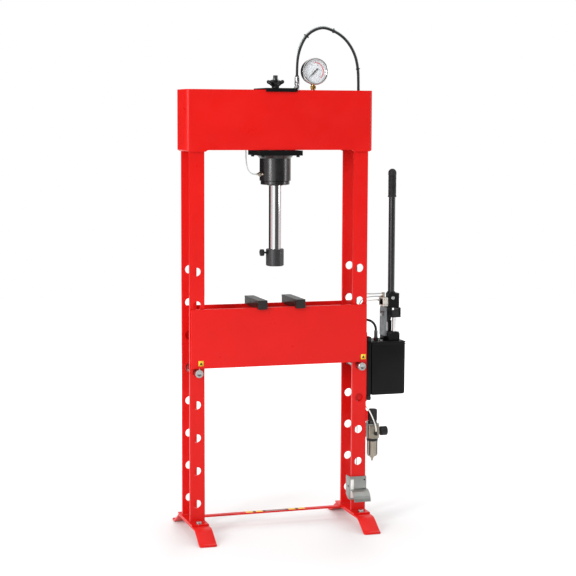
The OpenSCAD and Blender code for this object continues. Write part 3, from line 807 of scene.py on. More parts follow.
def sticker(name, lo, hi, colours, body):
    """Plain label in bands of colour along X, a thin sheet with no lettering."""
    bm = bmesh.new()
    lo, hi = Vector(lo), Vector(hi)
    total = sum(share for share, _ in colours)
    x = lo.x
    for index, (share, _) in enumerate(colours):
        x2 = x + (hi.x - lo.x) * share / total
        for vert in add_box(bm, (x, lo.y, lo.z), (x2, hi.y, hi.z)):
            for face in vert.link_faces:
                face.material_index = index
        x = x2
    obj = new_object(name, bm)
    for _, material in colours:
        obj.data.materials.append(material)
    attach(obj, body)
    return obj


foot_piece("left")
foot_piece("right")
frame_welds()
foot_bolt_set()


def warning_label(name, centre_x, z, y, size):
    """Square label: a yellow sheet with one dark triangle, without lettering."""
    half = size / 2
    sheet = rounded_box(
        "sheet", (centre_x - half, y - 0.2 * MM, z - half), (centre_x + half, y, z + half), 0.08 * MM, 1
    )
    sheet.data.materials.append(YELLOW)
    marks = bmesh.new()
    triangle = ((-0.3, -0.26), (0.3, -0.26), (0, 0.28))
    places = [(centre_x + x * size, y - 0.24 * MM, z + h * size) for x, h in triangle]
    marks.faces.new([marks.verts.new(at) for at in places])
    mark = new_object("marks", marks)
    mark.data.materials.append(INK)
    finish_piece(join(name, [sheet, mark]), None, "bed", "white_dial")


def labels():
    """Plain labels where the real press carries its printed ones."""
    lo, hi = corners("bed_front_plate")
    for side, x in (("left", lo.x + 38 * MM), ("right", hi.x - 14 * MM)):
        warning_label(f"{side}_bed_label", x, lo.z + 21 * MM, lo.y, 21 * MM)
    lo, hi = corners("cross_strip")
    stripes = [(12, YELLOW), (5, INK)] * 2
    sticker(
        "strip_label", (-105 * MM, lo.y + 3 * MM, hi.z), (150 * MM, hi.y - 3 * MM, hi.z + 0.2 * MM),
        stripes + [(34, LABEL_GREY)] + stripes[::-1], "frame",
    )


labels()


# ---- bed pins and press blocks ----

paint_node(STEEL, "left_pin", "right_pin")
paint_node(BLOCK_STEEL, "left_press_block", "right_press_block")


def pin_end(side):
    """Turned end face of a bed pin: a raised rim, a recess and a centre mark."""
    lo, hi = corners(f"{side}_pin")
    c = (lo + hi) / 2
    profile = [(8.95, 0.4), (8.95, 0.9), (7.6, 1.3), (3.2, 1.3), (2.2, 1.6), (0.9, 2.4), (0, 2.6)]
    obj = lathe(f"{side}_pin_end", [(0, 2.7)] + profile[::-1][1:] + [(8.95, 2.7)], (c.x, lo.y, c.z), Y)
    finish_piece(obj, STEEL, f"pin_{side}", "zinc_steel")


pin_end("left")
pin_end("right")


# ---- cylinder, ram and nose ----

paint_node(SATIN_BLACK, "cylinder_body", "cylinder_gland")
paint_node(BLACK, "mount_flange", "saddle_plate")
paint_node(NOSE_STEEL, "ram_nose")
paint_node(ROD_CHROME, "ram_rod")
paint_node(ZINC, "manifold")


def gland_details():
    """Wiper seal under the gland, and its four screws."""
    lo, _ = corners("cylinder_gland")
    ring = [
        (25.4, -0.2), (25.3, -2.2), (26.4, -3.2), (30.5, -3.2), (31.2, -2.4), (31.2, 0.4), (25.4, 0.4),
    ]
    obj = lathe("wiper_seal", ring, (0, 0, lo.z), Z, 64)
    finish_piece(obj, DARK_SEAL, "carriage", "black_rubber")
    turns = [math.pi / 4 + k * math.pi / 2 for k in range(4)]
    spots = [Vector((math.cos(a), math.sin(a), 0)) * 46 * MM + Z * lo.z for a in turns]
    screw = [(0, -1.2), (3.6, -1.2), (4.4, -0.5), (4.4, 0.4), (0, 0.4)]
    heads("gland_screws", screw, spots, Z, 20, ZINC, "carriage", "zinc_steel")


def flange_screws():
    """Cap screws through the corners of the square flange."""
    lo, hi = corners("mount_flange")
    bm = bmesh.new()
    for x, y in four_corners(lo, hi, 15 * MM):
        hexagon(bm, 13, (x, y, lo.z - 6.5 * MM), Z, 6.6, 1.2, 0.2)
    piece("flange_screws", bm, 30, BLACK_STEEL, "carriage", "black_paint")


def nose_screw_piece():
    """Knurled thumb screw in the side of the nose."""
    lo, hi = corners("nose_screw")
    c = (lo + hi) / 2
    bm = bmesh.new()
    sides = 72
    profile = [
        (0, 0), (11.5, 0), (13.0, 0.9), (13.9, 1.8), (13.9, 13.6), (13.0, 14.6), (8.0, 15.2),
        (7.4, 16.0), (4.0, 16.6), (4.0, 36.0), (0, 36.0),
    ]
    add_lathe(bm, profile, (lo.x, c.y, c.z), X, sides)
    knurl(bm, c, X, 13.5, 0.8, sides / 3)
    piece("thumb_screw_knob", bm, 35, BLACK_STEEL, "thumb_screw", "black_paint", "nose_screw")


gland_details()
flange_screws()
nose_screw_piece()


# ---- clamp knob and stud ----


def clamp_knob_piece():
    """Four-armed moulded knob with smooth roots and round tips."""
    lo, hi = corners("clamp_knob")
    bm = bmesh.new()
    base = Vector((0, 0, lo.z))
    hub = [
        (0, 0), (14.2, 0), (15, 0.8), (15, 13), (13.5, 19), (11.5, 22), (11, 33), (10, 33.8), (0, 33.8),
    ]
    add_lathe(bm, hub, base, Z, 40)
    for k in range(4):
        a = math.pi / 4 + k * math.pi / 2
        flat = Vector((math.cos(a), math.sin(a), 0))
        start = base + flat * 6 * MM + Z * 10 * MM
        tip = flat * 31.4 * MM + Vector((0, 0, hi.z - 8.2 * MM))
        path = smooth_curve([start, start.lerp(tip, 0.35) - Z * 1.0 * MM, start.lerp(tip, 0.7), tip], 6)
        add_tube(bm, path, 7.4 * MM, 20, lambda i: 1.1 - 0.2 * math.sin(min(i, 18) / 18 * math.pi))
        ball = bmesh.ops.create_uvsphere(bm, u_segments=20, v_segments=12, radius=7.6 * MM)["verts"]
        bmesh.ops.translate(bm, verts=ball, vec=tip)
    obj = new_object("clamp_knob_casting", bm)
    remesh = obj.modifiers.new("remesh", "REMESH")
    remesh.mode = "VOXEL"
    remesh.voxel_size = 0.9 * MM
    soften = obj.modifiers.new("soften", "SMOOTH")
    soften.factor = 0.6
    soften.iterations = 8
    bpy.context.view_layer.update()
    apply_modifiers(obj)
    for polygon in obj.data.polygons:
        polygon.use_smooth = True
    finish_piece(obj, BLACK_PLASTIC, "top_knob", "black_plastic", "clamp_knob")


def clamp_stud_piece():
    """Threaded stud with a hexagon head."""
    lo, hi = corners("clamp_stud")
    _, knob_hi = corners("clamp_knob")
    top = (hi.z - lo.z) / MM
    seat = (knob_hi.z - lo.z) / MM + 0.4
    bm = bmesh.new()
    profile = [(0, 0), (8, 0)] + thread(7.98, 2, 2, seat) + [(7.9, seat), (7.9, top - 14)]
    add_lathe(bm, profile + [(0, top - 14)], (0, 0, lo.z), Z, 40)
    washer = [(8.0, top - 17), (12.4, top - 17), (12.8, top - 16.6), (12.8, top - 15), (8.0, top - 15)]
    add_lathe(bm, washer, (0, 0, lo.z), Z, 40)
    hexagon(bm, 17, (0, 0, hi.z - 15 * MM), Z, 14.6, 1.8)
    piece("clamp_stud_bolt", bm, 30, DARK_STEEL, "carriage", "zinc_steel", "clamp_stud")


clamp_knob_piece()
clamp_stud_piece()


# ---- hose fitting and air fitting ----


def hose_fitting_piece():
    """Crimped hose end on a union nut, with its rubber collar."""
    lo, hi = corners("hose_fitting")
    c = Vector(((lo.x + hi.x) / 2, 0, lo.z))
    bm = bmesh.new()
    hexagon(bm, 18.2, c, Z, 13, 1.4, 0.2)
    shell = [(0, 13), (7, 13), (7, 15.5), (10.2, 15.5), (10.4, 16.5), (10.4, 20)]
    for k in range(4):
        at = 21 + k * 6
        shell += [(9.3, at), (9.3, at + 2.2), (10.1 - k * 0.35, at + 3.4), (10.1 - k * 0.35, at + 5)]
    shell += [(8.2, 46.4), (7.8, 47), (0, 47)]
    add_lathe(bm, shell, c, Z, 40)
    piece("hose_end", bm, 35, ZINC, "carriage", "zinc_steel", "hose_fitting")
    collar = [(0, 46.8), (7.4, 46.8), (7.4, 50.5), (6.6, 52), (5.1, 52), (0, 52)]
    turned("hose_collar", collar, c, Z, 32, RUBBER, "carriage", "black_rubber")


def air_fitting_piece():
    """Brass push-in fitting screwed into the side of the cylinder."""
    lo, _ = corners("air_fitting")
    _, y, z = RETURN_ROUTE[0]
    c = Vector((lo.x, y * MM, z * MM))
    bm = bmesh.new()
    body = [(2.6, 0), (4.4, 0), (5, 0.6), (5, 2.0), (4.2, 2.4), (4.2, 3.0), (5, 3.4), (5, 7), (0, 7)]
    add_lathe(bm, [(0, 0.2)] + body, c, X, 32)
    hexagon(bm, 16, c + X * 7 * MM, X, 8.5, 1.3)
    add_lathe(bm, [(0, 15)] + thread(6, 1.3, 15.2, 27) + [(0, 27)], c, X, 24)
    piece("air_inlet", bm, 30, NICKEL, "carriage", "brass", "air_fitting")


hose_fitting_piece()
air_fitting_piece()


# ---- pressure gauge ----


def gauge_pieces():
    """Turned rim, shell with its neck, window, dial, needle and stem."""
    lo, hi = corners("gauge_bezel")
    c = Vector(((lo.x + hi.x) / 2, lo.y, (lo.z + hi.z) / 2))
    radius = (hi.x - lo.x) / 2 / MM
    _, case_hi = corners("gauge_case")
    depth = (case_hi.y - lo.y) / MM
    bezel = [
        (radius - 8.4, 1.6), (radius - 7.4, 0.5), (radius - 5.4, 0), (radius - 2.4, 0.2),
        (radius - 0.5, 1.4), (radius, 3.4), (radius, 9.4), (radius - 0.6, 11.4), (radius - 2.6, 12.4),
        (radius - 8.4, 12.4), (radius - 8.4, 1.6),
    ]
    turned("gauge_rim", bezel, c, Y, 96, CHROME, "carriage", "chrome", "gauge_bezel")
    r = radius - 3.5
    case = [
        (r - 3, 12), (r, 12), (r, depth - 5), (r - 1.2, depth - 2), (r - 4, depth - 0.4),
        (r - 9, depth), (0, depth), (0, depth - 2), (r - 3, depth - 2), (r - 3, 12),
    ]
    shell = lathe("gauge_shell_turned", case, c, Y, 96)
    neck_lo, _ = corners("gauge_case")
    neck = rounded_box(
        "gauge_neck", (c.x - 9 * MM, -8 * MM, neck_lo.z), (c.x + 9 * MM, 8 * MM, neck_lo.z + 12 * MM),
        1.5 * MM,
    )
    finish_piece(join("gauge_shell", [shell, neck]), CHROME, "carriage", "chrome", "gauge_case")
    window = [(0, 2.0), (28, 2.2), (radius - 8.2, 2.9), (radius - 8.2, 4.2), (0, 3.6)]
    turned("gauge_window", window, c, Y, 64, GLASS, "carriage", "glass", "gauge_glass")
    dial_face(c, radius - 7.2)
    needle_piece(c)
    stem_piece()


def dial_arc(bm, c, r0, r1, start, stop, y):
    """Flat arc on the dial between two clock angles in degrees, clockwise from the top."""
    count = max(2, int(abs(stop - start) / 3))
    last = None
    for k in range(count + 1):
        a = math.radians(start + (stop - start) * k / count)
        ray = Vector((math.sin(a), 0, math.cos(a)))
        pair = [bm.verts.new(Vector((c.x, y, c.z)) + ray * r * MM) for r in (r0, r1)]
        if last:
            bm.faces.new((last[0], last[1], pair[1], pair[0]))
        last = pair


def digits(text, at, size):
    """Numbers on the dial, from the built-in font, as a flat mesh facing front."""
    curve = bpy.data.curves.new("digits", "FONT")
    curve.body = text
    curve.size = size
    curve.align_x, curve.align_y = "CENTER", "CENTER"
    obj = place("digits", curve)
    bpy.context.view_layer.update()
    mesh = bpy.data.meshes.new_from_object(obj.evaluated_get(bpy.context.evaluated_depsgraph_get()))
    mesh.transform(Matrix.Translation(at) @ Matrix.Rotation(math.pi / 2, 4, "X"))
    bpy.data.objects.remove(obj)
    return place("digits", mesh)


def dial_face(c, radius):
    """White dial with ticks, numbers and a red band."""
    y = c.y + 12 * MM
    sweep, tens = 270, 54  # degrees: from zero to full scale, and between two numbers
    plate = [(2.2, 0), (radius, 0), (radius, 1), (2.2, 1), (2.2, 0)]
    facts = DIAL, "carriage", "white_dial", "gauge_dial"
    turned("gauge_dial_plate", plate, (c.x, y, c.z), Y, 72, *facts)
    face = y - 0.15 * MM
    ink, red = bmesh.new(), bmesh.new()
    for k in range(51):
        angle = sweep * (k / 50 - 0.5)
        long = 5.5 if k % 5 == 0 else 3.0
        width = 1.1 if k % 5 == 0 else 0.4
        dial_arc(ink, c, 44 - long, 44, angle - width / 2, angle + width / 2, face)
    dial_arc(red, c, 34.0, 37.6, 0, 135, face)
    numbers = [new_object("dial_marks_ink", ink)]
    for k in range(6):
        a = math.radians(tens * k - sweep / 2)
        at = Vector((c.x, face, c.z)) + Vector((math.sin(a), 0, math.cos(a))) * 28 * MM
        numbers.append(digits(str(k * 10), at, 7.0 * MM))
    finish_piece(join("dial_marks", numbers), GREY_INK, "carriage", "black_plastic")
    finish_piece(new_object("dial_red_band", red), RED_INK, "carriage", "red_paint")


def needle_piece(c):
    """Tapered pointer with a counterweight, at zero."""
    lo, _ = corners("gauge_needle")
    y = lo.y + 0.6 * MM
    turn = Matrix.Rotation(math.radians(-135), 4, "Y")
    half = [(2.2, -14), (1.6, -3), (2.2, 4), (3.0, 14), (1.3, 20), (0.5, 37)]
    outline = [(x * MM, z * MM) for x, z in half + [(-x, z) for x, z in half[::-1]]]
    pointer = prism("pointer", outline, "Y", 0, 0.9 * MM)
    pointer.data.transform(Matrix.Translation((c.x, y, c.z)) @ turn)
    hub = lathe(
        "pointer_hub", [(0, -1.4), (2.6, -1.2), (3.8, -0.2), (4, 1.6), (2, 1.8), (2, 9), (0, 9)],
        (c.x, y, c.z), Y, 32,
    )
    tail = lathe("pointer_tail", [(0, -0.1), (3.4, -0.1), (3.4, 1.0), (0, 1.0)], (0, 0, 0), Y, 24)
    tail.data.transform(Matrix.Translation((c.x, y, c.z)) @ turn @ Matrix.Translation(-Z * 13 * MM))
    finish_piece(
        join("gauge_pointer", [pointer, tail, hub]), INK, "pointer", "black_plastic", "gauge_needle"
    )


def stem_piece():
    """Brass gauge stem: hexagon, neck and a turn of thread."""
    lo, hi = corners("gauge_stem")
    c = Vector(((lo.x + hi.x) / 2, 0, lo.z))
    bm = bmesh.new()
    add_lathe(bm, [(0, 0)] + thread(9.5, 1.6, 0, 5) + [(0, 5)], c, Z, 32)
    hexagon(bm, 22, c + Z * 4.6 * MM, Z, 10.6, 1.8, 0.15)
    neck = [(0, 15), (8.4, 15), (8.4, 16.2), (7, 17), (7, 19), (0, 19)]
    add_lathe(bm, neck, c, Z, 32)
    piece("gauge_stem_hex", bm, 30, BRASS, "carriage", "brass", "gauge_stem")


gauge_pieces()


# ---- pump ----

paint_node(BLACK, "pump_base", "handle_socket")
paint_node(SATIN_BLACK, "handle_tube")
paint_node(PLATE_ALLOY, "pump_side_plate")
paint_node(PLUNGER, "pump_plunger")


# Heights and places on the pump, in millimetres
PUMP_TOP = 782  # top face of the pump base
VALVE_TOP = 927  # top face of the air valve block
LEVER_X = 502
PLUNGER_AT = (508, -22)
TANK_LO, TANK_HI = Vector((395, -62, 531)) * MM, Vector((545, 62, 751)) * MM


def reservoir_piece():
    """Folded oil tank with a lid flange, a seam, lid screws and its mounting straps."""
    lo, hi = TANK_LO, TANK_HI
    mount_lo, mount_hi = corners("pump_reservoir")
    rim = 0.5 * MM
    parts = [
        rounded_box("tank", lo + Vector((rim, rim, 0)), hi - Vector((rim, rim, 2.5 * MM)), 9 * MM, 5),
        rounded_box("lid", (lo.x + rim, lo.y + rim, hi.z - 6 * MM), hi - X * rim - Y * rim, 2.4 * MM, 3),
        rounded_box("seam", (lo.x, lo.y, hi.z - 12 * MM), (hi.x, hi.y, hi.z - 9 * MM), 1.4 * MM, 2),
        rounded_box("web", (388 * MM, lo.y, 541 * MM), (392 * MM, hi.y, 741 * MM), 0.8 * MM, 2),
    ]
    for y in (-66 * MM, 60 * MM):
        parts.append(
            rounded_box(
                "strap", (mount_lo.x, y, mount_lo.z), (392 * MM, y + 6 * MM, mount_hi.z), 1.2 * MM
            )
        )
    for z in (545 * MM, 715 * MM):
        parts.append(
            rounded_box("arm", (391 * MM, -45 * MM, z), (397 * MM, 45 * MM, z + 18 * MM), 0.8 * MM)
        )
    finish_piece(join("oil_tank", parts), BLACK, "frame", "black_paint", "pump_reservoir")
    dome = [(0, 0), (4.6, 0), (4.6, 1.6), (3.4, 2.8), (0, 3.1)]
    spots = [(x, y, hi.z) for x, y in four_corners(lo, hi, 12 * MM)]
    heads("lid_screws", dome, spots, Z, 24, BLACK_STEEL, "frame", "zinc_steel")


def pump_top_pieces():
    """Union for the hose, the filler plug, base screws and the plunger seal."""
    lo, _ = corners("pump_fittings")
    c = Vector((PORT_X * MM, 0, lo.z))
    bm = bmesh.new()
    hexagon(bm, 18, c, Z, 11, 1.4, 0.25)
    body = [(0, 10.8), (6.6, 10.8), (6.6, 13), (7.6, 13.6), (7.6, 17)]
    for k in range(4):
        at = 18 + k * 5
        body += [(6.9, at), (6.9, at + 1.6), (7.5, at + 2.6), (7.5, at + 4)]
    body += [(6.2, 39.5), (5.4, 42), (0, 42)]
    add_lathe(bm, body, c, Z, 32)
    plug = Vector((442 * MM, -45 * MM, lo.z))
    profile = [(0, 0), (9, 0), (9, 1.4), (7.6, 1.8), (8, 2.4), (8, 6.4), (7, 8), (0, 8)]
    add_lathe(bm, profile, plug, Z, 32)
    piece("pump_unions", bm, 35, DARK_STEEL, "frame", "zinc_steel", "pump_fittings")
    socket = [(0, 3.4), (2.4, 3.4), (2.4, 6.0), (4.4, 6.0), (5.0, 5.4), (5.0, 0), (0, 0)]
    places = ((486, -36), (486, 36), (519, -37), (519, 12))
    spots = [Vector((x, y, PUMP_TOP)) * MM for x, y in places]
    heads("pump_base_screws", socket, spots, Z, 24, BLACK_STEEL, "frame", "black_paint")
    seal = [(8.15, 0), (12.6, 0), (12.6, 4), (11.6, 5.4), (9.2, 6.2), (8.15, 6.2), (8.15, 0)]
    turned(
        "plunger_seal_nut", seal, Vector((*PLUNGER_AT, PUMP_TOP)) * MM, Z, 48, BLACK_STEEL, "frame",
        "black_paint",
    )


def pivot_bolt_piece():
    """Bolt through the side plate and the lever's cheeks, with its nut and washers."""
    lo, hi = corners("pivot_bolt")
    c = (lo + hi) / 2
    bm = bmesh.new()
    hexagon(bm, 19, (lo.x, c.y, c.z), X, 8, 1.5, 0.2)
    hexagon(bm, 19, (hi.x - 7.2 * MM, c.y, c.z), X, 6.8, 1.5, 0.5)
    length = (hi.x - lo.x) / MM
    rod = [(0, 7), (6, 7), (6, length - 12)] + thread(5.95, 1.75, length - 12, length + 1)
    add_lathe(bm, rod + [(0, length + 1)], (lo.x, c.y, c.z), X, 32)
    piece("pivot_bolt_set", bm, 30, ZINC, "frame", "zinc_steel", "pivot_bolt")


def lever_details():
    """Ribbed grip, and the socket's clamp screw and collar."""
    lo, hi = corners("handle_grip")
    c = Vector(((lo.x + hi.x) / 2, (lo.y + hi.y) / 2, lo.z))
    length = (hi.z - lo.z) / MM
    profile = [(13.6, 0), (17, 0), (17.6, 1.2), (17.6, 5), (16.2, 6.4), (16, 8)]
    ribs = 17
    for k in range(ribs):
        at = 10 + k * (length - 34) / ribs
        profile += [(15.6, at), (15.6, at + 1.4), (16.9, at + 2.2), (16.9, at + 3.8)]
    for k in range(9):
        a = math.pi / 2 * k / 8
        profile.append((16.9 * math.cos(a), length - 17 + 17 * math.sin(a)))
    profile[-1] = (0, length)
    turned(
        "lever_grip_ribbed", [(0, 14), (13.6, 14)] + profile, c, Z, 48, RUBBER, "lever", "black_rubber",
        "handle_grip",
    )
    lo, hi = corners("handle_socket")
    bm = bmesh.new()
    hexagon(bm, 13, (LEVER_X * MM, lo.y + 7.6 * MM, 926 * MM), Y, 7.4, 1.2, 0.1)
    piece("socket_clamp_screw", bm, 30, ZINC, "lever", "zinc_steel")
    collar = [(13.7, 0), (17.4, 0), (17.4, 5), (16, 7.4), (13.7, 7.4), (13.7, 0)]
    turned(
        "socket_collar", collar, (LEVER_X * MM, 0, hi.z - 0.4 * MM), Z, 40, BLACK, "lever",
        "black_paint",
    )


def push_in(bm, at, axis, radius, length):
    """Push-in tube fitting: body, release ring and grooves."""
    profile = [
        (0, 0), (radius, 0), (radius, length * 0.55), (radius * 0.86, length * 0.6),
        (radius * 0.86, length * 0.68), (radius, length * 0.72), (radius, length * 0.86),
        (radius * 0.8, length * 0.9), (radius * 0.8, length), (0, length),
    ]
    add_lathe(bm, profile, at, axis, 28)


def valve_box_piece():
    """Air valve block with its cover, push-in elbows, supply port and screws."""
    lo, hi = corners("valve_box")
    top = VALVE_TOP * MM
    block = rounded_box("valve_block", lo, (hi.x, hi.y, top), 1.6 * MM)
    cover = rounded_box(
        "valve_cover", (lo.x, lo.y + 3 * MM, lo.z + 5 * MM),
        (hi.x + 1.5 * MM, hi.y - 3 * MM, top - 5 * MM), 1.2 * MM,
    )
    finish_piece(
        join("air_valve_block", [block, cover]), VALVE_BODY, "frame", "grey_metal", "valve_box"
    )
    bm = bmesh.new()
    for _, y, z in (RETURN_ROUTE[-1], PILOT_ROUTE[0]):
        elbow = [
            (0, VALVE_TOP - 1), (5, VALVE_TOP - 1), (5, VALVE_TOP + 2), (4.4, VALVE_TOP + 2.6),
            (4.4, z + 3.6), (3.4, z + 4.8), (0, z + 4.8),
        ]
        add_lathe(bm, elbow, (469 * MM, y * MM, 0), Z, 28)
        push_in(bm, (470 * MM, y * MM, z * MM), -X, 4.5, 9)
    piece("valve_elbows", bm, 35, NICKEL, "frame", "brass")
    bm = bmesh.new()
    push_in(bm, Vector(SUPPLY_ROUTE[-1]) * MM + X * 0.4 * MM, -X, 4.8, 8)
    piece("valve_supply_port", bm, 35, VALVE_BODY, "frame", "grey_metal")
    dome = [(0, 0), (2.6, 0), (2.6, 1), (1.8, 1.8), (0, 2)]
    spots = [
        (x, lo.y + 0.2 * MM, z)
        for z in (lo.z + 8 * MM, top - 8 * MM) for x in (lo.x + 5 * MM, hi.x - 5 * MM)
    ]
    heads("valve_screws", dome, spots, -Y, 20, ZINC, "frame", "zinc_steel")


def bracket_bolt_piece():
    """The two bolts that hold the pump bracket, each on its washer."""
    lo, hi = corners("bracket_bolts")
    bm = bmesh.new()
    x = (lo.x + hi.x) / 2
    for z in (523 * MM, 766 * MM):
        add_lathe(bm, [(0, 0), (9.5, 0), (9.5, 1.4), (0, 1.4)], (x, -66 * MM, z), -Y, 32)
        hexagon(bm, 14, (x, -67.3 * MM, z), -Y, 5, 1.3, 0.1)
    piece("bracket_bolt_pair", bm, 30, BLACK_STEEL, "frame", "black_paint", "bracket_bolts")


reservoir_piece()
pump_top_pieces()
pivot_bolt_piece()
lever_details()
valve_box_piece()
bracket_bolt_piece()


# ---- regulator ----

paint_node(SHEET, "regulator_bracket")


def regulator_pieces():
    """Casting with its ring, neck and port, lug, ribbed cap, small gauge, bowl and supply elbow."""
    lo, _ = corners("regulator_body")
    knob_lo, knob_hi = corners("regulator_knob")
    c = (knob_lo + knob_hi) / 2
    top = knob_lo.z - 3.3 * MM
    half = 23 * MM
    block = rounded_box(
        "regulator_block", (c.x - half, c.y - half, lo.z), (c.x + half, c.y + half, top), 5 * MM, 4
    )
    waist = lathe(
        "regulator_ring", [(22, 0), (24.2, 0.8), (24.2, 6.6), (22, 7.4), (0, 7.4), (0, 0), (22, 0)],
        (c.x, c.y, lo.z - 1 * MM), Z, 48,
    )
    neck = lathe(
        "regulator_neck", [(0, 0), (14, 0)] + thread(14, 2, 1, 13) + [(0, 13)], (c.x, c.y, top), Z, 40,
    )
    port = lathe(
        "gauge_port", [(0, 0), (10, 0), (10, 4), (7, 5), (7, 10), (0, 10)],
        (c.x + half - 1 * MM, c.y, lo.z + 27 * MM), X, 32,
    )
    finish_piece(
        join("regulator_casting", [block, waist, neck, port]), ALLOY, "frame", "grey_metal",
        "regulator_body",
    )
    finish_piece(
        rounded_box(
            "regulator_lug", (370.4 * MM, -67 * MM, 427 * MM), (381 * MM, -57.4 * MM, 469 * MM), 3 * MM
        ),
        RED, "frame", "red_paint",
    )
    bm = bmesh.new()
    height = (knob_hi.z - knob_lo.z) / MM
    profile = [
        (0, 0), (17.4, 0), (18.2, 0.8), (18.2, 9), (17.4, 10), (17.4, 12), (19.4, 13),
        (19.4, height - 6), (18.6, height - 2.4), (16, height - 0.6), (12, height), (0, height - 0.4),
    ]
    add_lathe(bm, profile, (c.x, c.y, knob_lo.z), Z, 96)
    knurl(bm, c, Z, 18.3, 1.1, 24)
    piece(
        "regulator_cap_ribbed", bm, 40, BLACK_PLASTIC, "regulator_cap", "black_plastic",
        "regulator_knob",
    )
    small_gauge(Vector((c.x + half + 9 * MM, c.y, lo.z + 27 * MM)))
    bowl_pieces(c)
    bm = bmesh.new()
    supply = Vector(SUPPLY_ROUTE[0])
    push_in(bm, (supply + Y * 9 - Z * 11) * MM, -Y, 5.5, 14)
    push_in(bm, (supply - Z * 13) * MM, Z, 4.6, 13)
    piece("supply_elbow", bm, 35, BLACK_PLASTIC, "frame", "black_plastic")


def small_gauge(c):
    """Little gauge on the side of the regulator, facing right."""
    case = [
        (0, 0), (12, 0), (17.6, 2), (19, 4), (19, 27), (18.4, 29.4), (17.4, 30.6), (16.6, 30),
        (16.6, 27.6), (0, 27.6),
    ]
    turned("small_gauge_case", case, c, X, 48, BLACK_PLASTIC, "frame", "black_plastic")
    face = lathe("small_gauge_dial", [(0, 27.7), (16.4, 27.7), (16.4, 28), (0, 28)], c, X, 40)
    finish_piece(face, DIAL, "frame", "white_dial")
    bm = bmesh.new()

    def stroke(degrees, lift, ends):
        """Flat stroke on the dial; ends are its corners as (radius, half width) in mm."""
        a = math.radians(degrees)
        ray = Vector((0, math.sin(a), math.cos(a)))
        at = c + X * lift * MM
        bm.faces.new([bm.verts.new(at + (ray * r + X.cross(ray) * w) * MM) for r, w in ends])

    for k in range(21):
        r, w = (11.5, 0.45) if k % 5 == 0 else (13, 0.25)
        stroke(-135 + 13.5 * k, 28.15, ((r, -w), (r, w), (15.2, w), (15.2, -w)))
    stroke(-120, 28.3, ((-4, -0.6), (-4, 0.6), (12, 0.18), (12, -0.18)))
    piece("small_gauge_marks", bm, None, INK, "frame", "black_plastic")
    window = [(0, 29.0), (16.6, 29.0), (16.6, 30.0), (0, 30.3)]
    turned("small_gauge_window", window, c, X, 40, GLASS, "frame", "glass")


GUARD_TURN = -46  # degrees: where the four guard bars stand round the bowl


def bowl_pieces(c):
    """Smoked bowl with guard bars, collar, filter inside and drain valve."""
    lo, _ = corners("regulator_bowl")
    at = (c.x, c.y, lo.z)
    bowl = [
        (0, 19), (8, 19), (17, 23), (20.4, 30), (20.4, 94), (22.2, 94), (22.4, 31), (21.4, 25.5),
        (18.4, 20), (12, 17), (7, 16.6), (0, 16.6),
    ]
    turned("filter_bowl", bowl, at, Z, 56, SMOKE, "frame", "smoky_plastic", "regulator_bowl")
    bm = bmesh.new()
    for k in range(4):
        a = math.radians(GUARD_TURN + 90 * k)
        out = Vector((math.cos(a), math.sin(a), 0))
        made = add_box(bm, (-0.7 * MM, -2.6 * MM, 27 * MM), (0.7 * MM, 2.6 * MM, 86 * MM))
        turn = Matrix((out, Z.cross(out), Z)).transposed().to_4x4()
        bmesh.ops.transform(
            bm, matrix=Matrix.Translation(Vector(at) + out * 22.3 * MM) @ turn, verts=made
        )
    piece("bowl_guard", bm, None, BLACK_PLASTIC, "frame", "black_plastic")
    inner = [(0, 46), (11, 46), (12, 48), (12, 78), (15, 80), (15, 92), (0, 92)]
    turned("filter_element", inner, at, Z, 40, PALE_FILTER, "frame", "white_tube")
    drain = [(0, 0), (3.6, 0), (4.2, 0.8), (4.2, 4), (5, 4.6), (5, 11), (7.6, 12.6), (7.6, 17), (0, 17)]
    turned("bowl_drain", drain, at, Z, 32, DRAIN, "frame", "smoky_plastic")
    collar = [(20.6, 84), (23.2, 84), (23.6, 85), (23.6, 94.4), (20.6, 94.4), (20.6, 84)]
    turned("bowl_collar", collar, at, Z, 56, BLACK_PLASTIC, "frame", "black_plastic")


regulator_pieces()


# ---- foot valve and pedal ----


PEDAL_PIN_Y, PEDAL_PIN_Z = -80 * MM, 140 * MM


